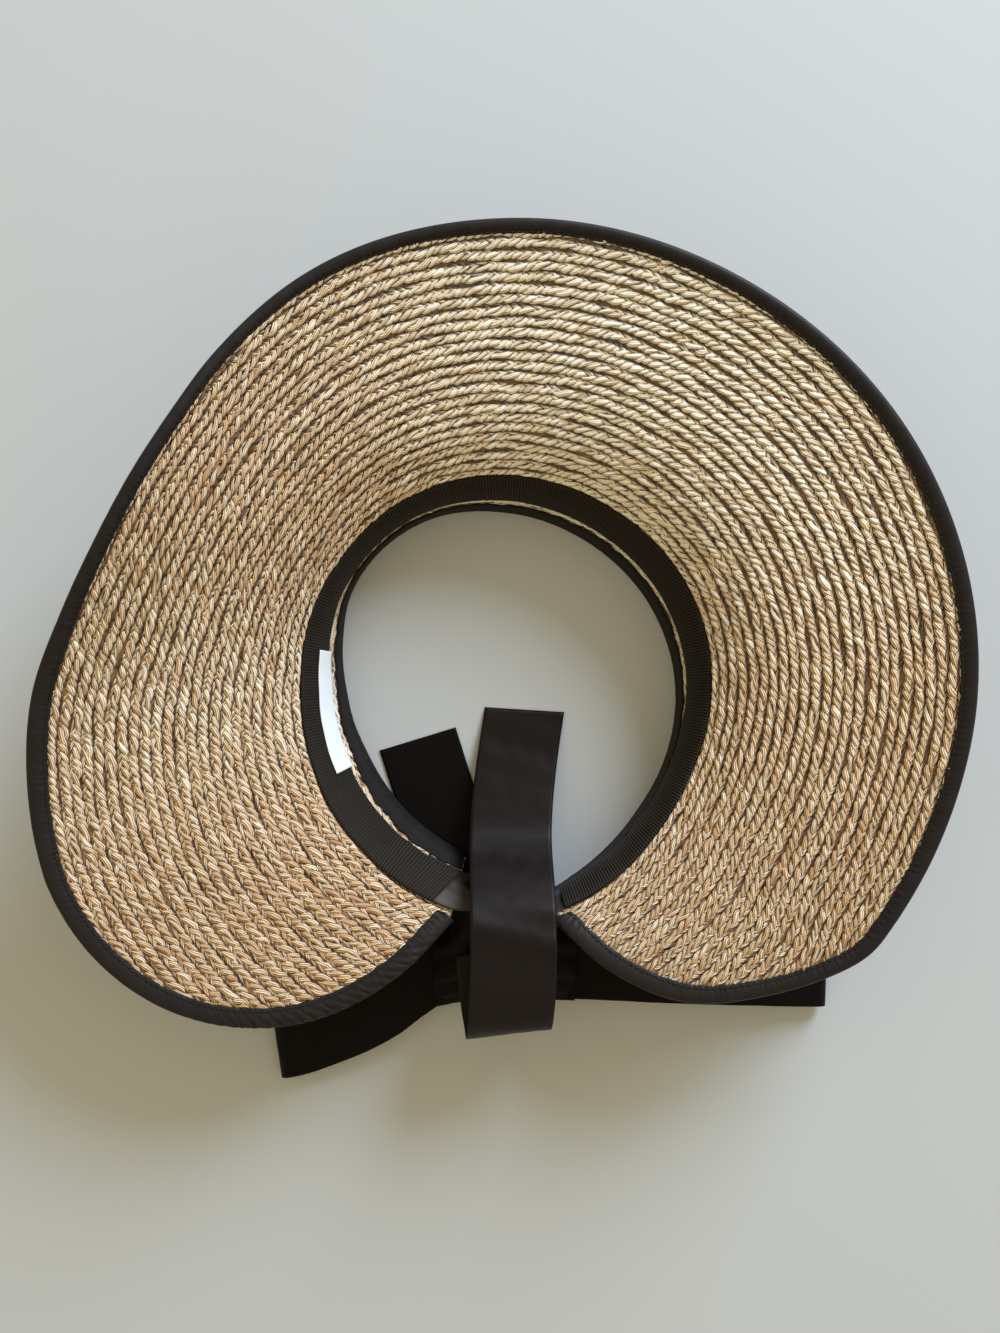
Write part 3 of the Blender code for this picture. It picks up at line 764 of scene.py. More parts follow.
def plaited_rows(name, rows, sizes, seed, tilt, bulge, weave, sink=0.0, tone_lift=0.0):
    """A five-strand flat plait laid along each row, tilted so that the next row laps over it.

    bulge is the rise of its middle, weave the rise of a strand where it goes over another, and sink
    its depth in the wall, all in millimetres."""
    rng = np.random.default_rng(seed)
    half_plait = sizes.plait_width / 2
    half_swing = (sizes.plait_width - sizes.strand_width) / 2
    all_points, all_quads, all_uv, all_tint, all_lap = [], [], [], [], []
    made = 0
    for row in rows:
        on_brim = row.across > 0
        repeat = sizes.plait_repeat * rng.uniform(0.94, 1.06)
        start_turn = rng.uniform(0, math.tau)
        wander = random_wave(rng, 25.0, 160.0)
        swell = random_wave(rng, 12.0, 60.0)
        pull = random_wave(rng, 12.0, 55.0)
        count = int(row.length / repeat * REPEAT_SECTIONS)
        place = np.linspace(0.0, row.length, count)
        for strand in range(STRANDS):
            width_wave = random_wave(rng, 8.0, 50.0)
            lift_wave = random_wave(rng, 7.0, 40.0)
            tone_wave = random_wave(rng, 18.0, 260.0)
            shift_wave = random_wave(rng, 9.0, 45.0)
            strand_tone = rng.normal(0.0, TONE_SPREAD)
            turn = math.tau * (place / repeat + strand / STRANDS) + start_turn + PULL * pull(place)
            swing = np.arcsin(ZIGZAG * np.cos(turn)) / math.asin(ZIGZAG)
            over = -np.sin(2 * turn)
            centre = half_swing * swing + STRAND_SHIFT * shift_wave(place)
            lift = weave * over * (1 + LIFT_CHANGE * lift_wave(place + 55.0))
            lift = lift + STRAND_LIFT * lift_wave(place)
            lean = np.gradient(centre, place)
            stretch = np.sqrt(1 + lean**2)
            width_share = 1 + WIDTH_CHANGE * width_wave(place) + OVER_WIDENING * over
            side = SECTION_ACROSS * (sizes.strand_width / 2 * width_share)[:, None]
            wall_share = 1 + WALL_CHANGE * width_wave(place + 90.0)
            up = SECTION_UP * (sizes.strand_wall / 2 * wall_share)[:, None]
            # s is the distance along the row and c the distance across the plait, from its middle
            s = np.clip(place[:, None] - side * (lean / stretch)[:, None], 0.0, row.length)
            c = centre[:, None] + side / stretch[:, None]
            angle = row.angle_at(s)
            across_length = np.linalg.norm(wall_steps(angle, np.full_like(angle, row.across))[1], axis=-1)
            # Where the brim is wider the plait is stretched, so that the rows still lap
            wider = np.clip(across_length / sizes.brim_rows / EASY_SPACING, *STRETCH) if on_brim else 1.0
            across = row.across + (c * wider + ROW_WANDER * wander(s)) / across_length
            height = -tilt * c + bulge * (1 - (c / half_plait) ** 2) + ROW_SWELL * swell(s)
            height = height + lift[:, None] + up - sink
            # What lies past this place on the plait is hidden by the next row, and gets a painted shadow
            # just before it
            lap = np.full(c.shape, -1.0)
            if on_brim:
                # The tape presses the plait to half its height
                reach = brim_tape_reach(angle)
                distance = outline_distance(angle, across)
                height = height * (0.5 + 0.5 * ramp(distance, reach - 0.5, reach + 1.4))
                across = np.minimum(across, kept_share(angle) - EDGE_STOP / across_length)
                across = np.maximum(across, 0.0)
                rear = rear_share(angle)
                # Painted shadow under the next row's edge: wider at the front than at the rear
                lap = c + LAP_SHADE_WAVER * swell(s + 40.0) + LAP_SHADE_REAR * rear + LAP_SHADE_FRONT * (1 - rear)
                # A strand's far side gets painted shade only beside its neighbours
                lap[:, 3] = NO_LAP_SHADE
            else:
                across = np.clip(across, CROWN_STOP, -0.0001)
            all_points.append(beside_wall(angle, across, height).reshape(-1, 3))
            all_quads.append(strand_faces(count) + made)
            made += count * 4
            # Each strand and row reads another part of the textures
            along = np.broadcast_to(place[:, None] + 37.0 * strand, (count, 4))
            around = np.broadcast_to(SECTION_UV + 9.0 * strand, (count, 4))
            all_uv.append(np.stack([along + 264.0 * row.across, around], -1).reshape(-1, 2))
            # Painted light where the strand lies on top, and painted shade where it goes under another
            tone = tone_lift + TONE_BASE + strand_tone + TONE_DRIFT * tone_wave(place) + OVER_PAINTED_LIGHT * over
            # Painted light and shade by the angle round the head is added to each strand's tone
            all_tint.append(np.repeat(tone + straw_painted_light(angle[:, 0]), 4))
            all_lap.append(lap.ravel())
    return array_mesh(
        name,
        np.concatenate(all_points),
        np.concatenate(all_quads),
        np.concatenate(all_uv),
        tint=np.concatenate(all_tint),
        # Painted shade in the grooves: 1 at a strand's two sides, where it meets its neighbours
        groove=np.tile(np.abs(SECTION_ACROSS), made // 4),
        lap=np.concatenate(all_lap),
    )


class VISOR_OT_add_straw_brim(bpy.types.Operator):
    """Add the brim: rows of five-strand plait from the seam to the outline"""

    bl_idname = "visor.add_straw_brim"
    bl_label = "Straw brim"

    # The share of the rows at which each piece ends, so that each stays a mesh of a reasonable size
    groups = (("straw_brim_inner", 0.375), ("straw_brim_middle", 0.71), ("straw_brim_outer", 1.0))

    def execute(self, context):
        sizes = context.scene.visor_sizes
        material = woven_raffia(context.scene.visor_colours)
        first = 0
        for seed, (name, share) in enumerate(self.groups, start=11):
            last = round(share * sizes.brim_rows)
            rows = rows_inside([(k + 0.5) / sizes.brim_rows for k in range(first, last)], inset=0.5)
            obj = plaited_rows(name, rows, sizes, seed, tilt=0.33, bulge=0.6, weave=0.42)
            finish_piece(obj, material, "straw_body")
            first = last
        return {"FINISHED"}


class VISOR_OT_add_straw_collar(bpy.types.Operator):
    """Add the collar: rows of plait from the seam to the crown edge, and the ground behind all rows,
    painted dark as the shade between them
    """

    bl_idname = "visor.add_straw_collar"
    bl_label = "Straw collar"

    def execute(self, context):
        sizes = context.scene.visor_sizes
        places = [-(k + 0.5) / sizes.collar_rows for k in range(sizes.collar_rows)]
        rows = [Row(across, *STRAW_ENDS) for across in places]
        lie = {"tilt": 0.1, "bulge": 0.15, "weave": 0.26, "sink": 0.4}
        obj = plaited_rows("straw_collar", rows, sizes, 31, tone_lift=0.12, **lie)
        finish_piece(obj, bpy.data.materials["woven_raffia"], "straw_body")

        start, end = STRAW_ENDS
        # The share of the ground's width that is on the collar
        collar = 0.28

        def lay(along, across):
            angle = start + (end - start) * along
            on_brim = (across - collar) / (1 - collar) * kept_share(angle)
            place = np.where(across < collar, across / collar - 1, on_brim)
            place = np.minimum(place, kept_share(angle) - 0.008)
            # It lies within the thickness of the rows, so that both faces show plait
            height = -0.25 + 0.65 * ramp(across, collar - 0.01, collar + 0.05)
            return beside_wall(angle, np.maximum(place, CROWN_STOP), height)

        # The ground sheet shows between the rows, and is painted dark as the shade there
        ground = laid_sheet("straw_ground_shade", 1.0, 1.0, 260, 28, lay)
        give_wall(ground, 0.3, 0.0)
        finish_piece(ground, mottled("raffia_ground_shade", context.scene.visor_colours), "straw_body")
        return {"FINISHED"}


# The tapes


# A folded tape in section, from one leg's end round the edge to the other's. The first number is
# the share of the leg's reach, or of a fixed length past the edge, and the second the offset in mm
TAPE_LEG = ((1.0, 1.2), (0.84, 1.2), (0.6, 1.75), (0.32, 2.0), (0.04, 1.85), (-0.2, 1.2))
TAPE_SECTION = np.array([*TAPE_LEG, (-0.3, 0.0), *[(share, -off) for share, off in reversed(TAPE_LEG)]])
PAST_EDGE = 6.6
MEAN_REACH = 5.6
TAPE_WALL = 0.5
# The tape is drawn into a pucker at each stitch
STITCH_SPACING = 2.7
STITCH_LENGTH = 1.9
STITCH_THICKNESS = 0.45
STITCH_SHARE = 0.84
STITCH_HEIGHT = 1.65
PUCKER_DEPTH = 0.26
# Slanted folds in the tape at the rear left: their depth, their spacing, and where they come and go
FOLD_DEPTH = 0.5
FOLD_SPACING = 5.2
FOLDS_COME = (222.0, 236.0)
FOLDS_GO = (250.0, 254.0)


class Outline:
    """The brim's outline, by length: where a tape round it lies."""

    def __init__(self):
        angles = np.linspace(*STRAW_ENDS, 6000)
        self.angles = angles
        self.places = lengths_along(wall_point(angles, kept_share(angles)))
        self.length = self.places[-1]

    def angle_at(self, place):
        return np.interp(place, self.places, self.angles)

    def lay(self, along, inwards, offset):
        """Points at a distance inwards from the edge over the straw, and at an offset from its middle."""
        angle = self.angle_at(along)
        kept = kept_share(angle)
        normal = wall_normal(angle, kept)
        start, end = STRAW_ENDS
        after = np.minimum(angle + 0.3, end)
        before = np.maximum(angle - 0.3, start)
        heading = wall_point(after, kept_share(after)) - wall_point(before, kept_share(before))
        inward = np.cross(normal, unit(heading))
        round_step, across_step = wall_steps(angle, kept)
        sign = np.where((inward * across_step).sum(-1) > 0, -1.0, 1.0)
        inward = inward * sign[..., None]
        # The degrees round and the share across that make one millimetre inwards
        rr = (round_step * round_step).sum(-1)
        ra = (round_step * across_step).sum(-1)
        aa = (across_step * across_step).sum(-1)
        ir = (inward * round_step).sum(-1)
        ia = (inward * across_step).sum(-1)
        determinant = rr * aa - ra * ra
        walked = np.maximum(inwards, 0.0)
        leg_angle = angle + (ir * aa - ia * ra) / determinant * walked
        leg_across = np.maximum(kept + (ia * rr - ir * ra) / determinant * walked, 0.012)
        on_leg = beside_wall(leg_angle, leg_across, offset)
        past_edge = wall_point(angle, kept) + inward * inwards[..., None] + normal * offset[..., None]
        return np.where((inwards > 0)[..., None], on_leg, past_edge)


def tape_curves():
    """The tape's section as smooth functions of the length round it, and its whole length."""
    shares, offsets = TAPE_SECTION.T
    reach = np.where(shares > 0, shares * MEAN_REACH, shares * PAST_EDGE)
    places = lengths_along(np.stack([reach, offsets], -1))
    return smooth_curve(places, shares), smooth_curve(places, offsets), places[-1]


def stitch_line(name, middles, headings, ups):
    """Sewn stitches: one bead modelled, stretched, and copied to each place."""
    use_only()
    bpy.ops.mesh.primitive_uv_sphere_add(segments=6, ring_count=5, radius=0.5)
    bead = bpy.context.object
    shape = np.array([v.co for v in bead.data.vertices])
    # A new sphere's faces come in another order each time, so they are sorted into one
    faces = sorted(tuple(p.vertices) for p in bead.data.polygons)
    bpy.data.objects.remove(bead)
    headings = unit(headings)
    sides = unit(np.cross(ups, headings))
    points = (
        middles[:, None]
        + shape[None, :, 2:3] * STITCH_LENGTH * headings[:, None]
        + shape[None, :, 0:1] * STITCH_THICKNESS * sides[:, None]
        + shape[None, :, 1:2] * STITCH_THICKNESS * unit(ups)[:, None]
    )
    every = [tuple(i + len(shape) * k for i in face) for k in range(len(middles)) for face in faces]
    mesh = bpy.data.meshes.new(name)
    mesh.from_pydata((points.reshape(-1, 3) * MM).tolist(), [], every)
    return linked_object(name, mesh)


class VISOR_OT_add_brim_binding(bpy.types.Operator):
    """Add the tape folded over the brim's edge, with its puckers and stitches"""

    bl_idname = "visor.add_brim_binding"
    bl_label = "Brim binding"

    def execute(self, context):
        colours = context.scene.visor_colours
        outline = Outline()
        length = outline.length
        shares, offsets, width = tape_curves()
        rng = np.random.default_rng(5)
        uneven = random_wave(rng, 6.0, 30.0)
        depth = random_wave(rng, 5.0, 24.0)
        slow = random_wave(rng, 9.0, 40.0)
        edge_wave = random_wave(rng, 3.0, 14.0)

        def lay(along, across):
            share = shares(across)
            off = offsets(across)
            angle = outline.angle_at(along)
            leg = np.where(share > 0, share * brim_tape_reach(angle), share * PAST_EDGE)
            # Puckers run straight across the tape, and fade out towards the fold at the edge
            phase = (along + 0.9 * uneven(along)) / STITCH_SPACING
            pucker = 1 - 2 * np.abs(np.sin(math.pi * phase)) ** 0.8
            near_stitches = np.clip(1 - np.abs(share - 0.62) / 0.42, 0.0, 1.0) ** 0.7
            drawn = PUCKER_DEPTH * pucker * (1 + 0.5 * depth(along)) * near_stitches
            # At the rear left the satin lies in slanted folds from the stitches to the edge
            slanted = ramp(angle, *FOLDS_COME) * (1 - ramp(angle, *FOLDS_GO))
            fold_phase = (along + 1.3 * leg + 0.8 * uneven(along + 70.0)) / FOLD_SPACING
            fold = np.sin(math.tau * fold_phase) * np.clip(1.15 - share, 0.0, 1.0)
            body = np.clip((1 - share) * 4, 0.0, 1.0)
            drawn = drawn * (1 - 0.6 * slanted) + FOLD_DEPTH * fold * slanted * body
            off = off + np.sign(off) * (drawn + 0.1 * slow(along) * body)
            leg = np.where(share > 0.8, leg + 0.16 * edge_wave(along), leg)
            return outline.lay(along, leg, off)

        tape = laid_sheet("brim_tape", length, width, int(length / 0.66), 19, lay)
        give_wall(tape, TAPE_WALL, 1.0)
        material = woven_cloth("bias_tape", colours)
        finish_sheet(tape, material, "brim_binding", (width, length), "folded", "straw_brim_outer")

        # One line of stitches on each face, a little inside the tape's edge
        place = np.arange(4.0, length - 4.0, STITCH_SPACING)
        reach = STITCH_SHARE * brim_tape_reach(outline.angle_at(place))
        middles, headings, ups = [], [], []
        for side in (1.0, -1.0):
            height = np.full_like(place, side * STITCH_HEIGHT)
            middle = outline.lay(place, reach, height)
            middles.append(middle)
            headings.append(outline.lay(place + 0.4, reach, height) - middle)
            ups.append(outline.lay(place, reach, height + side * 0.5) - middle)
        lines = (np.concatenate(each) for each in (middles, headings, ups))
        stitches = stitch_line("brim_stitches", *lines)
        finish_piece(stitches, mottled("sewing_thread", colours), "brim_binding")
        return {"FINISHED"}


class VISOR_OT_add_crown_binding(bpy.types.Operator):
    """Add the tape folded over the crown edge, on which the visor rests"""

    bl_idname = "visor.add_crown_binding"
    bl_label = "Crown binding"

    # How far the fold hangs below the crown edge, and the lowest that the tape's middle goes
    fold_drop = 1.6
    lowest = 0.62

    def execute(self, context):
        angles, places = line_round(CROWN_TAPE_ENDS, -1.0, 1500)
        length = places[-1]
        rng = np.random.default_rng(8)
        fine = random_wave(rng, 2.5, 6.0)
        edge_wave = random_wave(rng, 6.0, 30.0)

        def lay(along, across):
            angle = np.interp(along, places, angles)
            # across runs from the head side's upper edge, down round the crown edge and up the far side
            side = np.where(across < 0.5, 1.0, -1.0)
            share = np.abs(across - 0.5) / 0.5
            reach = SWEATBAND_TOP + SWEATBAND_WIDTH + WALL["strip"](angle) + 0.6 * edge_wave(along)
            down = (COLLAR_WIDTH - reach) * share - self.fold_drop * (1 - share) ** 6
            round_off = np.sqrt(np.clip(1 - (1 - ramp(share, 0.0, 0.16)) ** 2, 0.0, 1.0))
            pressed = 0.85 + 0.35 * np.sin(math.pi * np.clip(share, 0, 1)) ** 0.7
            off = side * pressed * round_off * (1 + 0.05 * fine(along))
            points = beside_wall(angle, -1 + np.maximum(down, 0.0) / COLLAR_WIDTH, off)
            crown_edge = wall_point(angle, np.full_like(angle, -1.0))
            past = unit(crown_edge - wall_point(angle, np.full_like(angle, -0.97)))
            points = points + past * np.maximum(-down, 0.0)[..., None]
            # Where the crown edge is just off the table the tape's fold fills the gap
            points[:, 2] -= np.clip(crown_edge[:, 2] - 1.2, 0.0, self.fold_drop) * (1 - share) ** 2
            points[:, 2] = np.maximum(points[:, 2], self.lowest)
            return points

        tape = laid_sheet("crown_tape", length, 1.0, int(length / 1.2), 28, lay)
        give_wall(tape, TAPE_WALL, 1.0)
        material = woven_cloth("crown_bias_tape", context.scene.visor_colours)
        flat = (CROWN_TAPE_WIDTH, length)
        finish_sheet(tape, material, "crown_binding", flat, "folded", "straw_collar")
        return {"FINISHED"}


# The bands inside the collar


def sweatband_lift(angle):
    """How far the sweatband stands off the straw, to clear the strap tucked under its ends."""
    left, right = STRAP_ENDS
    over_left = ramp(angle, left - 13, left - 5)
    over_right = 1 - ramp(angle, right - 360 + 5, right - 360 + 13)
    return SWEATBAND_SEAT + STRAP_STEP * np.maximum(over_left, over_right)


class VISOR_OT_add_sweatband(bpy.types.Operator):
    """Add the ribbed ribbon that lines the collar, with its turned ends"""

    bl_idname = "visor.add_sweatband"
    bl_label = "Sweatband"

    # The plain edge beside the ribs, the ribs' height, the ribbon's thickness and what its hems add
    selvage = 1.6
    rib_height = 0.22
    wall = 0.6
    hem_rise = 0.35

    def execute(self, context):
        rib_spacing = context.scene.visor_sizes.rib_spacing
        end = SWEATBAND_ENDS[1]
        middle = -(SWEATBAND_TOP + SWEATBAND_WIDTH / 2) / COLLAR_WIDTH
        angles, places = line_round(SWEATBAND_ENDS, middle, 1500)
        length = places[-1]
        sway = random_wave(np.random.default_rng(3), 20.0, 90.0)
        rib_start = (self.selvage - 0.5, self.selvage + 0.3)

        def lay(along, across):
            angle = np.interp(along, places, angles)
            share = across / SWEATBAND_WIDTH
            # The ribbon is eased in all along but for its right end, so that straw shows below it
            eased_in = 1 - EASED_SHARE * ramp(angle, *EASED_FROM)
            angle = angle + SWEATBAND_END_SLANT * ramp(angle, end - 20, end) * share
            inside = ramp(across, *rib_start) * ramp(SWEATBAND_WIDTH - across, *rib_start)
            ribs = -np.cos(math.tau * along / rib_spacing) * self.rib_height * inside
            hem = ramp(along, 7.0, 5.5) + ramp(along, length - 7.0, length - 5.5)
            off = sweatband_lift(angle) + self.wall + ribs + self.hem_rise * hem
            off = off + 0.1 * sway(along) * (1 - hem)
            return beside_wall(angle, -(SWEATBAND_TOP + across * eased_in) / COLLAR_WIDTH, off)

        # Five columns to a rib
        columns = int(length / rib_spacing * 5)
        band = laid_sheet("sweatband_ribbon", length, SWEATBAND_WIDTH, columns, 13, lay)
        give_wall(band, self.wall, -1.0)
        material = woven_cloth("grosgrain", context.scene.visor_colours)
        finish_sheet(band, material, "sweatband", (SWEATBAND_WIDTH, length), "laid", "straw_collar")
        return {"FINISHED"}


class VISOR_OT_add_back_strap(bpy.types.Operator):
    """Add the satin strap across the gap at the back, and the small plain label"""

    bl_idname = "visor.add_back_strap"
    bl_label = "Strap and label"

    # Each band's piece, cloth, node, ends, top, width, seat, thickness, columns and rows, how it is held
    # and by what, and its creases: their depth, how fast they change along and across, and their start
    bands = (
        (
            ("satin_strap", "strap_satin", "back_strap"),
            (STRAP_ENDS, STRAP_TOP, STRAP_WIDTH, SWEATBAND_SEAT + 0.6, 0.5, 90, 24),
            ("stretched", "straw_collar"),
            (0.15, 0.4, 1.2, 0.0),
        ),
        (
            ("plain_label", "label_satin", "sweatband_label"),
            (LABEL_ENDS, LABEL_TOP, LABEL_WIDTH, LABEL_SEAT + 0.35, 0.35, 80, 16),
            ("laid", "sweatband_ribbon"),
            (0.12, 0.5, 0.0, 40.0),
        ),
    )

    def execute(self, context):
        creases = random_wave(np.random.default_rng(14), 8.0, 30.0)
        for (name, cloth, node), cut, lie, crease in self.bands:
            ends, top, width, seat, wall, columns, rows = cut
            angles, places = line_round(ends, -(top + width / 2) / COLLAR_WIDTH, 300)

            def lay(along, across):
                depth, lengthwise, crosswise, start = crease
                wave = depth * creases(along * lengthwise + across * crosswise + start)
                angle = np.interp(along, places, angles)
                return beside_wall(angle, -(top + across) / COLLAR_WIDTH, seat + wave)

            band = laid_sheet(name, places[-1], width, columns, rows, lay)
            give_wall(band, wall, -1.0)
            material = woven_cloth(cloth, context.scene.visor_colours)
            finish_sheet(band, material, node, (width, places[-1]), *lie)
        return {"FINISHED"}


# The bow


class Route:
    """A ribbon's way: its middle and the heading of its width, by length."""

    def __init__(self, rows):
        rows = np.array(rows, float)
        places = lengths_along(rows[:, :3])
        self.curves = [smooth_curve(places, rows[:, i]) for i in range(4)]
        self.length = places[-1]

    def middle(self, place):
        return np.stack([self.curves[i](place) for i in range(3)], -1)

    def lay(self, along, across, offset):
        """Points at a distance across the ribbon from its middle line, and at an offset from its face."""
        after = np.minimum(along + 0.2, self.length)
        before = np.maximum(along - 0.2, 0.0)
        turn = np.radians(self.curves[3](along))
        heading = np.stack([np.cos(turn), np.sin(turn), np.zeros_like(turn)], -1)
        normal = unit(np.cross(self.middle(after) - self.middle(before), heading))
        return self.middle(along) + heading * across[..., None] + normal * offset[..., None]


def add_ribbon(name, node, rows, held, sizes, material, seed, ripple, crease=0.0):
    """A satin ribbon laid along its route, with slight ripples and a slanted crease over the knot."""
    route = Route(rows)
    rng = np.random.default_rng(seed)
    lengthwise = random_wave(rng, 14.0, 70.0)
    crosswise = random_wave(rng, 9.0, 30.0)

    def lay(along, across):
        from_middle = across - RIBBON_WIDTH / 2
        offset = ripple * lengthwise(along + 0.25 * from_middle) * (0.6 + 0.4 * crosswise(from_middle))
        beside_crease = route.middle(along)[..., 1] - CREASE_Y + 0.22 * from_middle
        # The crease is only in the ribbon's upper layer
        upper = ramp(along, 60.0, 75.0)
        offset = offset - crease * upper * np.exp(-((beside_crease / CREASE_WIDTH) ** 2))
        points = route.lay(along, from_middle, offset)
        points[:, 2] = np.maximum(points[:, 2], sizes.ribbon_wall / 2 + TABLE_GAP)
        return points

    obj = laid_sheet(name, route.length, RIBBON_WIDTH, int(route.length / 1.6), 24, lay)
    give_wall(obj, sizes.ribbon_wall, 0.0)
    finish_sheet(obj, material, node, (RIBBON_WIDTH, route.length), held, "tabletop")


class VISOR_OT_add_bow(bpy.types.Operator):
    """Add the bow: two flat loops, two tails and the gathered middle"""

    bl_idname = "visor.add_bow"
    bl_label = "Bow"

    def execute(self, context):
        colours = context.scene.visor_colours
        satin = woven_cloth("black_satin", colours)
        # The long tail is turned so that the ribbon's shiny face is up, in the window's light, and its
        # satin is painted lighter and browner as painted light
        shiny = woven_cloth("black_satin_lit_face", colours)
        ribbons = (
            ("bow_left_loop", "bow_loop_left", LEFT_LOOP, "folded", satin, 0.15, 0.0),
            ("bow_right_loop", "bow_loop_right", RIGHT_LOOP, "folded", satin, 0.15, 0.0),
            ("long_tail", "tail_long", LONG_TAIL, "draped", shiny, 0.25, CREASE_DEPTH),
            ("short_tail", "tail_short", SHORT_TAIL, "draped", satin, 0.1, 0.0),
        )
        for seed, (name, node, rows, held, material, ripple, crease) in enumerate(ribbons, start=41):
            sizes = context.scene.visor_sizes
            add_ribbon(name, node, rows, held, sizes, material, seed, ripple, crease)
        self.add_knot(satin)
        return {"FINISHED"}

    def knot_section(self, x, inner_y, inner_z, outer_y, outer_z, crest_z, on_strap):
        """The six corners of one section, from its upper inner edge down and round."""
        upper = np.array([x, inner_y, inner_z])
        lower = np.array([x, inner_y + 3.0, KNOT_FLOOR + 2.5])
        if on_strap:
            # On the outer side of the strap, near its middle and near its lower edge
            angle = np.array(270.0 + math.degrees(math.atan2(x, -inner_y)))
            upper, lower = (
                beside_wall(angle, np.array(-(STRAP_TOP + down) / COLLAR_WIDTH), STRAP_FACE)
                for down in (11.0, 20.0)
            )
            upper[0] = x
            lower[0] = x
        deep = lower[1] - outer_y
        return [
            upper,
            lower,
            (x, lower[1] - 0.08 * deep, KNOT_FLOOR),
            (x, outer_y + 3.0, KNOT_FLOOR),
            (x, outer_y, outer_z),
            (x, outer_y + 0.35 * deep, crest_z),
        ]

    def add_knot(self, satin):
        """The gathered middle: a wrapped band with the ribbon's pleats flaring out on both sides."""
        corners = np.array([[tuple(p) for p in self.knot_section(*row)] for row in KNOT])
        stations = corners[:, 0, 0]
        # Each section is closed, so its corners repeat before and after the one turn that is used
        turns = np.arange(-6, 13)
        looped = np.concatenate([corners] * 4, axis=1)[:, : len(turns)]

        def lay(along, across):
            x = stations[0] + (stations[-1] - stations[0]) * along
            by_station = np.array([
                np.stack([smooth_curve(turns, section[:, axis])(across * 6) for axis in range(3)], -1)
                for section in looped
            ])
            k = np.clip(np.searchsorted(stations, x, side="right") - 1, 0, len(stations) - 2)
            t = ((x - stations[k]) / (stations[k + 1] - stations[k]))[:, None]
            each = np.arange(len(x))
            points = by_station[k, each] * (1 - t) + by_station[k + 1, each] * t
            heart = np.stack([x, np.full_like(x, KNOT_HEART[0]), np.full_like(x, KNOT_HEART[1])], -1)
            from_wrap = x - WRAP_X
            flare = ramp(np.abs(from_wrap), 9.0, 16.0)
            pleats = np.cos(across * math.tau * PLEATS) * PLEAT_DEPTH * flare
            wraps = np.cos(from_wrap * math.tau / WRAP_SPACING) * WRAP_DEPTH * (1 - flare)
            points = points + unit(points - heart) * (pleats - KNOT_INSET + wraps)[:, None]
            points[:, 2] = np.maximum(points[:, 2], KNOT_LOWEST)
            return points

        knot = laid_sheet("bow_middle", 1.0, 1.0, 90, 132, lay)
        use_only(knot)
        bpy.ops.object.mode_set(mode="EDIT")
        bpy.ops.mesh.select_all(action="SELECT")
        bpy.ops.mesh.remove_doubles(threshold=0.02 * MM)
        bpy.ops.mesh.select_all(action="DESELECT")
        bpy.ops.mesh.select_non_manifold(extend=False)
        bpy.ops.mesh.edge_face_add()
        bpy.ops.mesh.select_all(action="SELECT")
        bpy.ops.mesh.normals_make_consistent(inside=False)
        bpy.ops.object.mode_set(mode="OBJECT")
        finish_piece(knot, satin, "bow_knot")


# The stage


# A large window at the upper right, in metres and watts, and the colour of the room's own light
WINDOW_PLACE = (1.505, 2.318, 1.289)
WINDOW_SIZE = 1.5
WINDOW_POWER = 168.0
WINDOW_COLOUR = "#CCE2FF"
# This one is linear already
ROOM_COLOUR = (0.66, 0.6, 0.42, 1.0)
# The height over the table of what the window's light is turned to
LIT_HEIGHT = 0.04
# The camera looks straight down. The photograph is 1000 pixels wide, and 0.4787 mm a pixel at the table
CAMERA_PLACE = (-3.83, 12.45, 600.0)
PHOTO_WIDTH = 1000
PIXEL = 0.4787
SENSOR_WIDTH = 36.0


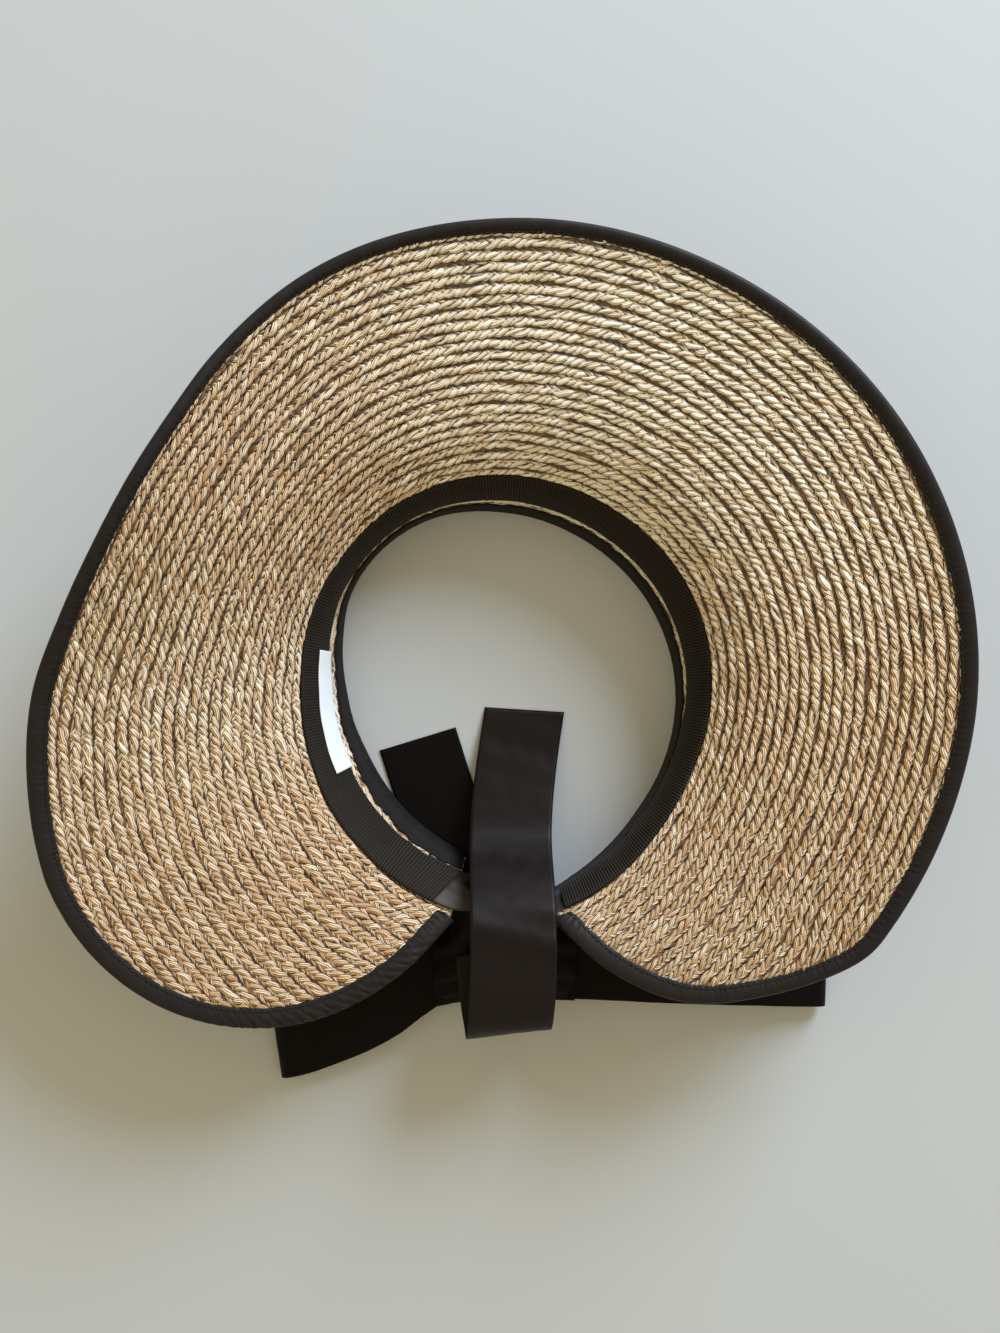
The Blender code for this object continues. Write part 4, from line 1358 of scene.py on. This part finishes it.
class VISOR_OT_add_stage(bpy.types.Operator):
    """Add the tabletop, the window light and the camera straight above"""

    bl_idname = "visor.add_stage"
    bl_label = "Stage"

    def execute(self, context):
        scene = context.scene
        use_only()
        bpy.ops.mesh.primitive_plane_add(size=6.0, location=(0, 0, 0))
        table = context.object
        table.name = "tabletop"
        table.data.materials.append(mottled("matt_tabletop", scene.visor_colours))

        world = bpy.data.worlds.new("room")
        world.use_nodes = True
        room = world.node_tree.nodes["Background"].inputs
        room["Color"].default_value = ROOM_COLOUR
        room["Strength"].default_value = 1.0
        scene.world = world

        bpy.ops.object.light_add(type="AREA", location=WINDOW_PLACE)
        light = context.object
        light.name = "window"
        light.data.shape = "DISK"
        light.data.size = WINDOW_SIZE
        light.data.energy = WINDOW_POWER
        light.data.color = srgb(WINDOW_COLOUR)[:3]
        way = Vector((0, 0, LIT_HEIGHT)) - Vector(WINDOW_PLACE)
        light.rotation_euler = way.to_track_quat("-Z", "Y").to_euler()

        bpy.ops.object.camera_add(location=Vector(CAMERA_PLACE) * MM, rotation=(0, 0, 0))
        camera = context.object
        camera.name = "camera"
        camera.data.sensor_fit = "HORIZONTAL"
        camera.data.sensor_width = SENSOR_WIDTH
        camera.data.lens = SENSOR_WIDTH * CAMERA_PLACE[2] / (PHOTO_WIDTH * PIXEL)
        camera.data.clip_start = 0.01
        scene.camera = camera
        scene.view_settings.view_transform = "Standard"
        return {"FINISHED"}


class VISOR_PT_pieces(bpy.types.Panel):
    """Lists the visor's pieces in the sidebar of the 3D view"""

    bl_idname = "VISOR_PT_pieces"
    bl_label = "Straw visor"
    bl_space_type = "VIEW_3D"
    bl_region_type = "UI"
    bl_category = "Straw visor"

    def draw(self, context):
        layout = self.layout
        for group in (context.scene.visor_sizes, context.scene.visor_colours):
            for name in group.__annotations__:
                layout.prop(group, name)
        for operator in OPERATORS:
            layout.operator(operator.bl_idname)


OPERATORS = (
    VISOR_OT_add_stage,
    VISOR_OT_add_straw_brim,
    VISOR_OT_add_straw_collar,
    VISOR_OT_add_brim_binding,
    VISOR_OT_add_crown_binding,
    VISOR_OT_add_sweatband,
    VISOR_OT_add_back_strap,
    VISOR_OT_add_bow,
)
CLASSES = (VisorSizes, VisorColours, *OPERATORS, VISOR_PT_pieces)


def register():
    for cls in CLASSES:
        bpy.utils.register_class(cls)
    bpy.types.Scene.visor_sizes = bpy.props.PointerProperty(type=VisorSizes)
    bpy.types.Scene.visor_colours = bpy.props.PointerProperty(type=VisorColours)


def unregister():
    del bpy.types.Scene.visor_colours
    del bpy.types.Scene.visor_sizes
    for cls in reversed(CLASSES):
        bpy.utils.unregister_class(cls)


def main():
    """Add every piece in order."""
    register()
    bpy.ops.visor.add_stage()
    bpy.ops.visor.add_straw_brim()
    bpy.ops.visor.add_straw_collar()
    bpy.ops.visor.add_brim_binding()
    bpy.ops.visor.add_crown_binding()
    bpy.ops.visor.add_sweatband()
    bpy.ops.visor.add_back_strap()
    bpy.ops.visor.add_bow()
    bpy.context.view_layer.update()


if __name__ == "__main__":
    main()
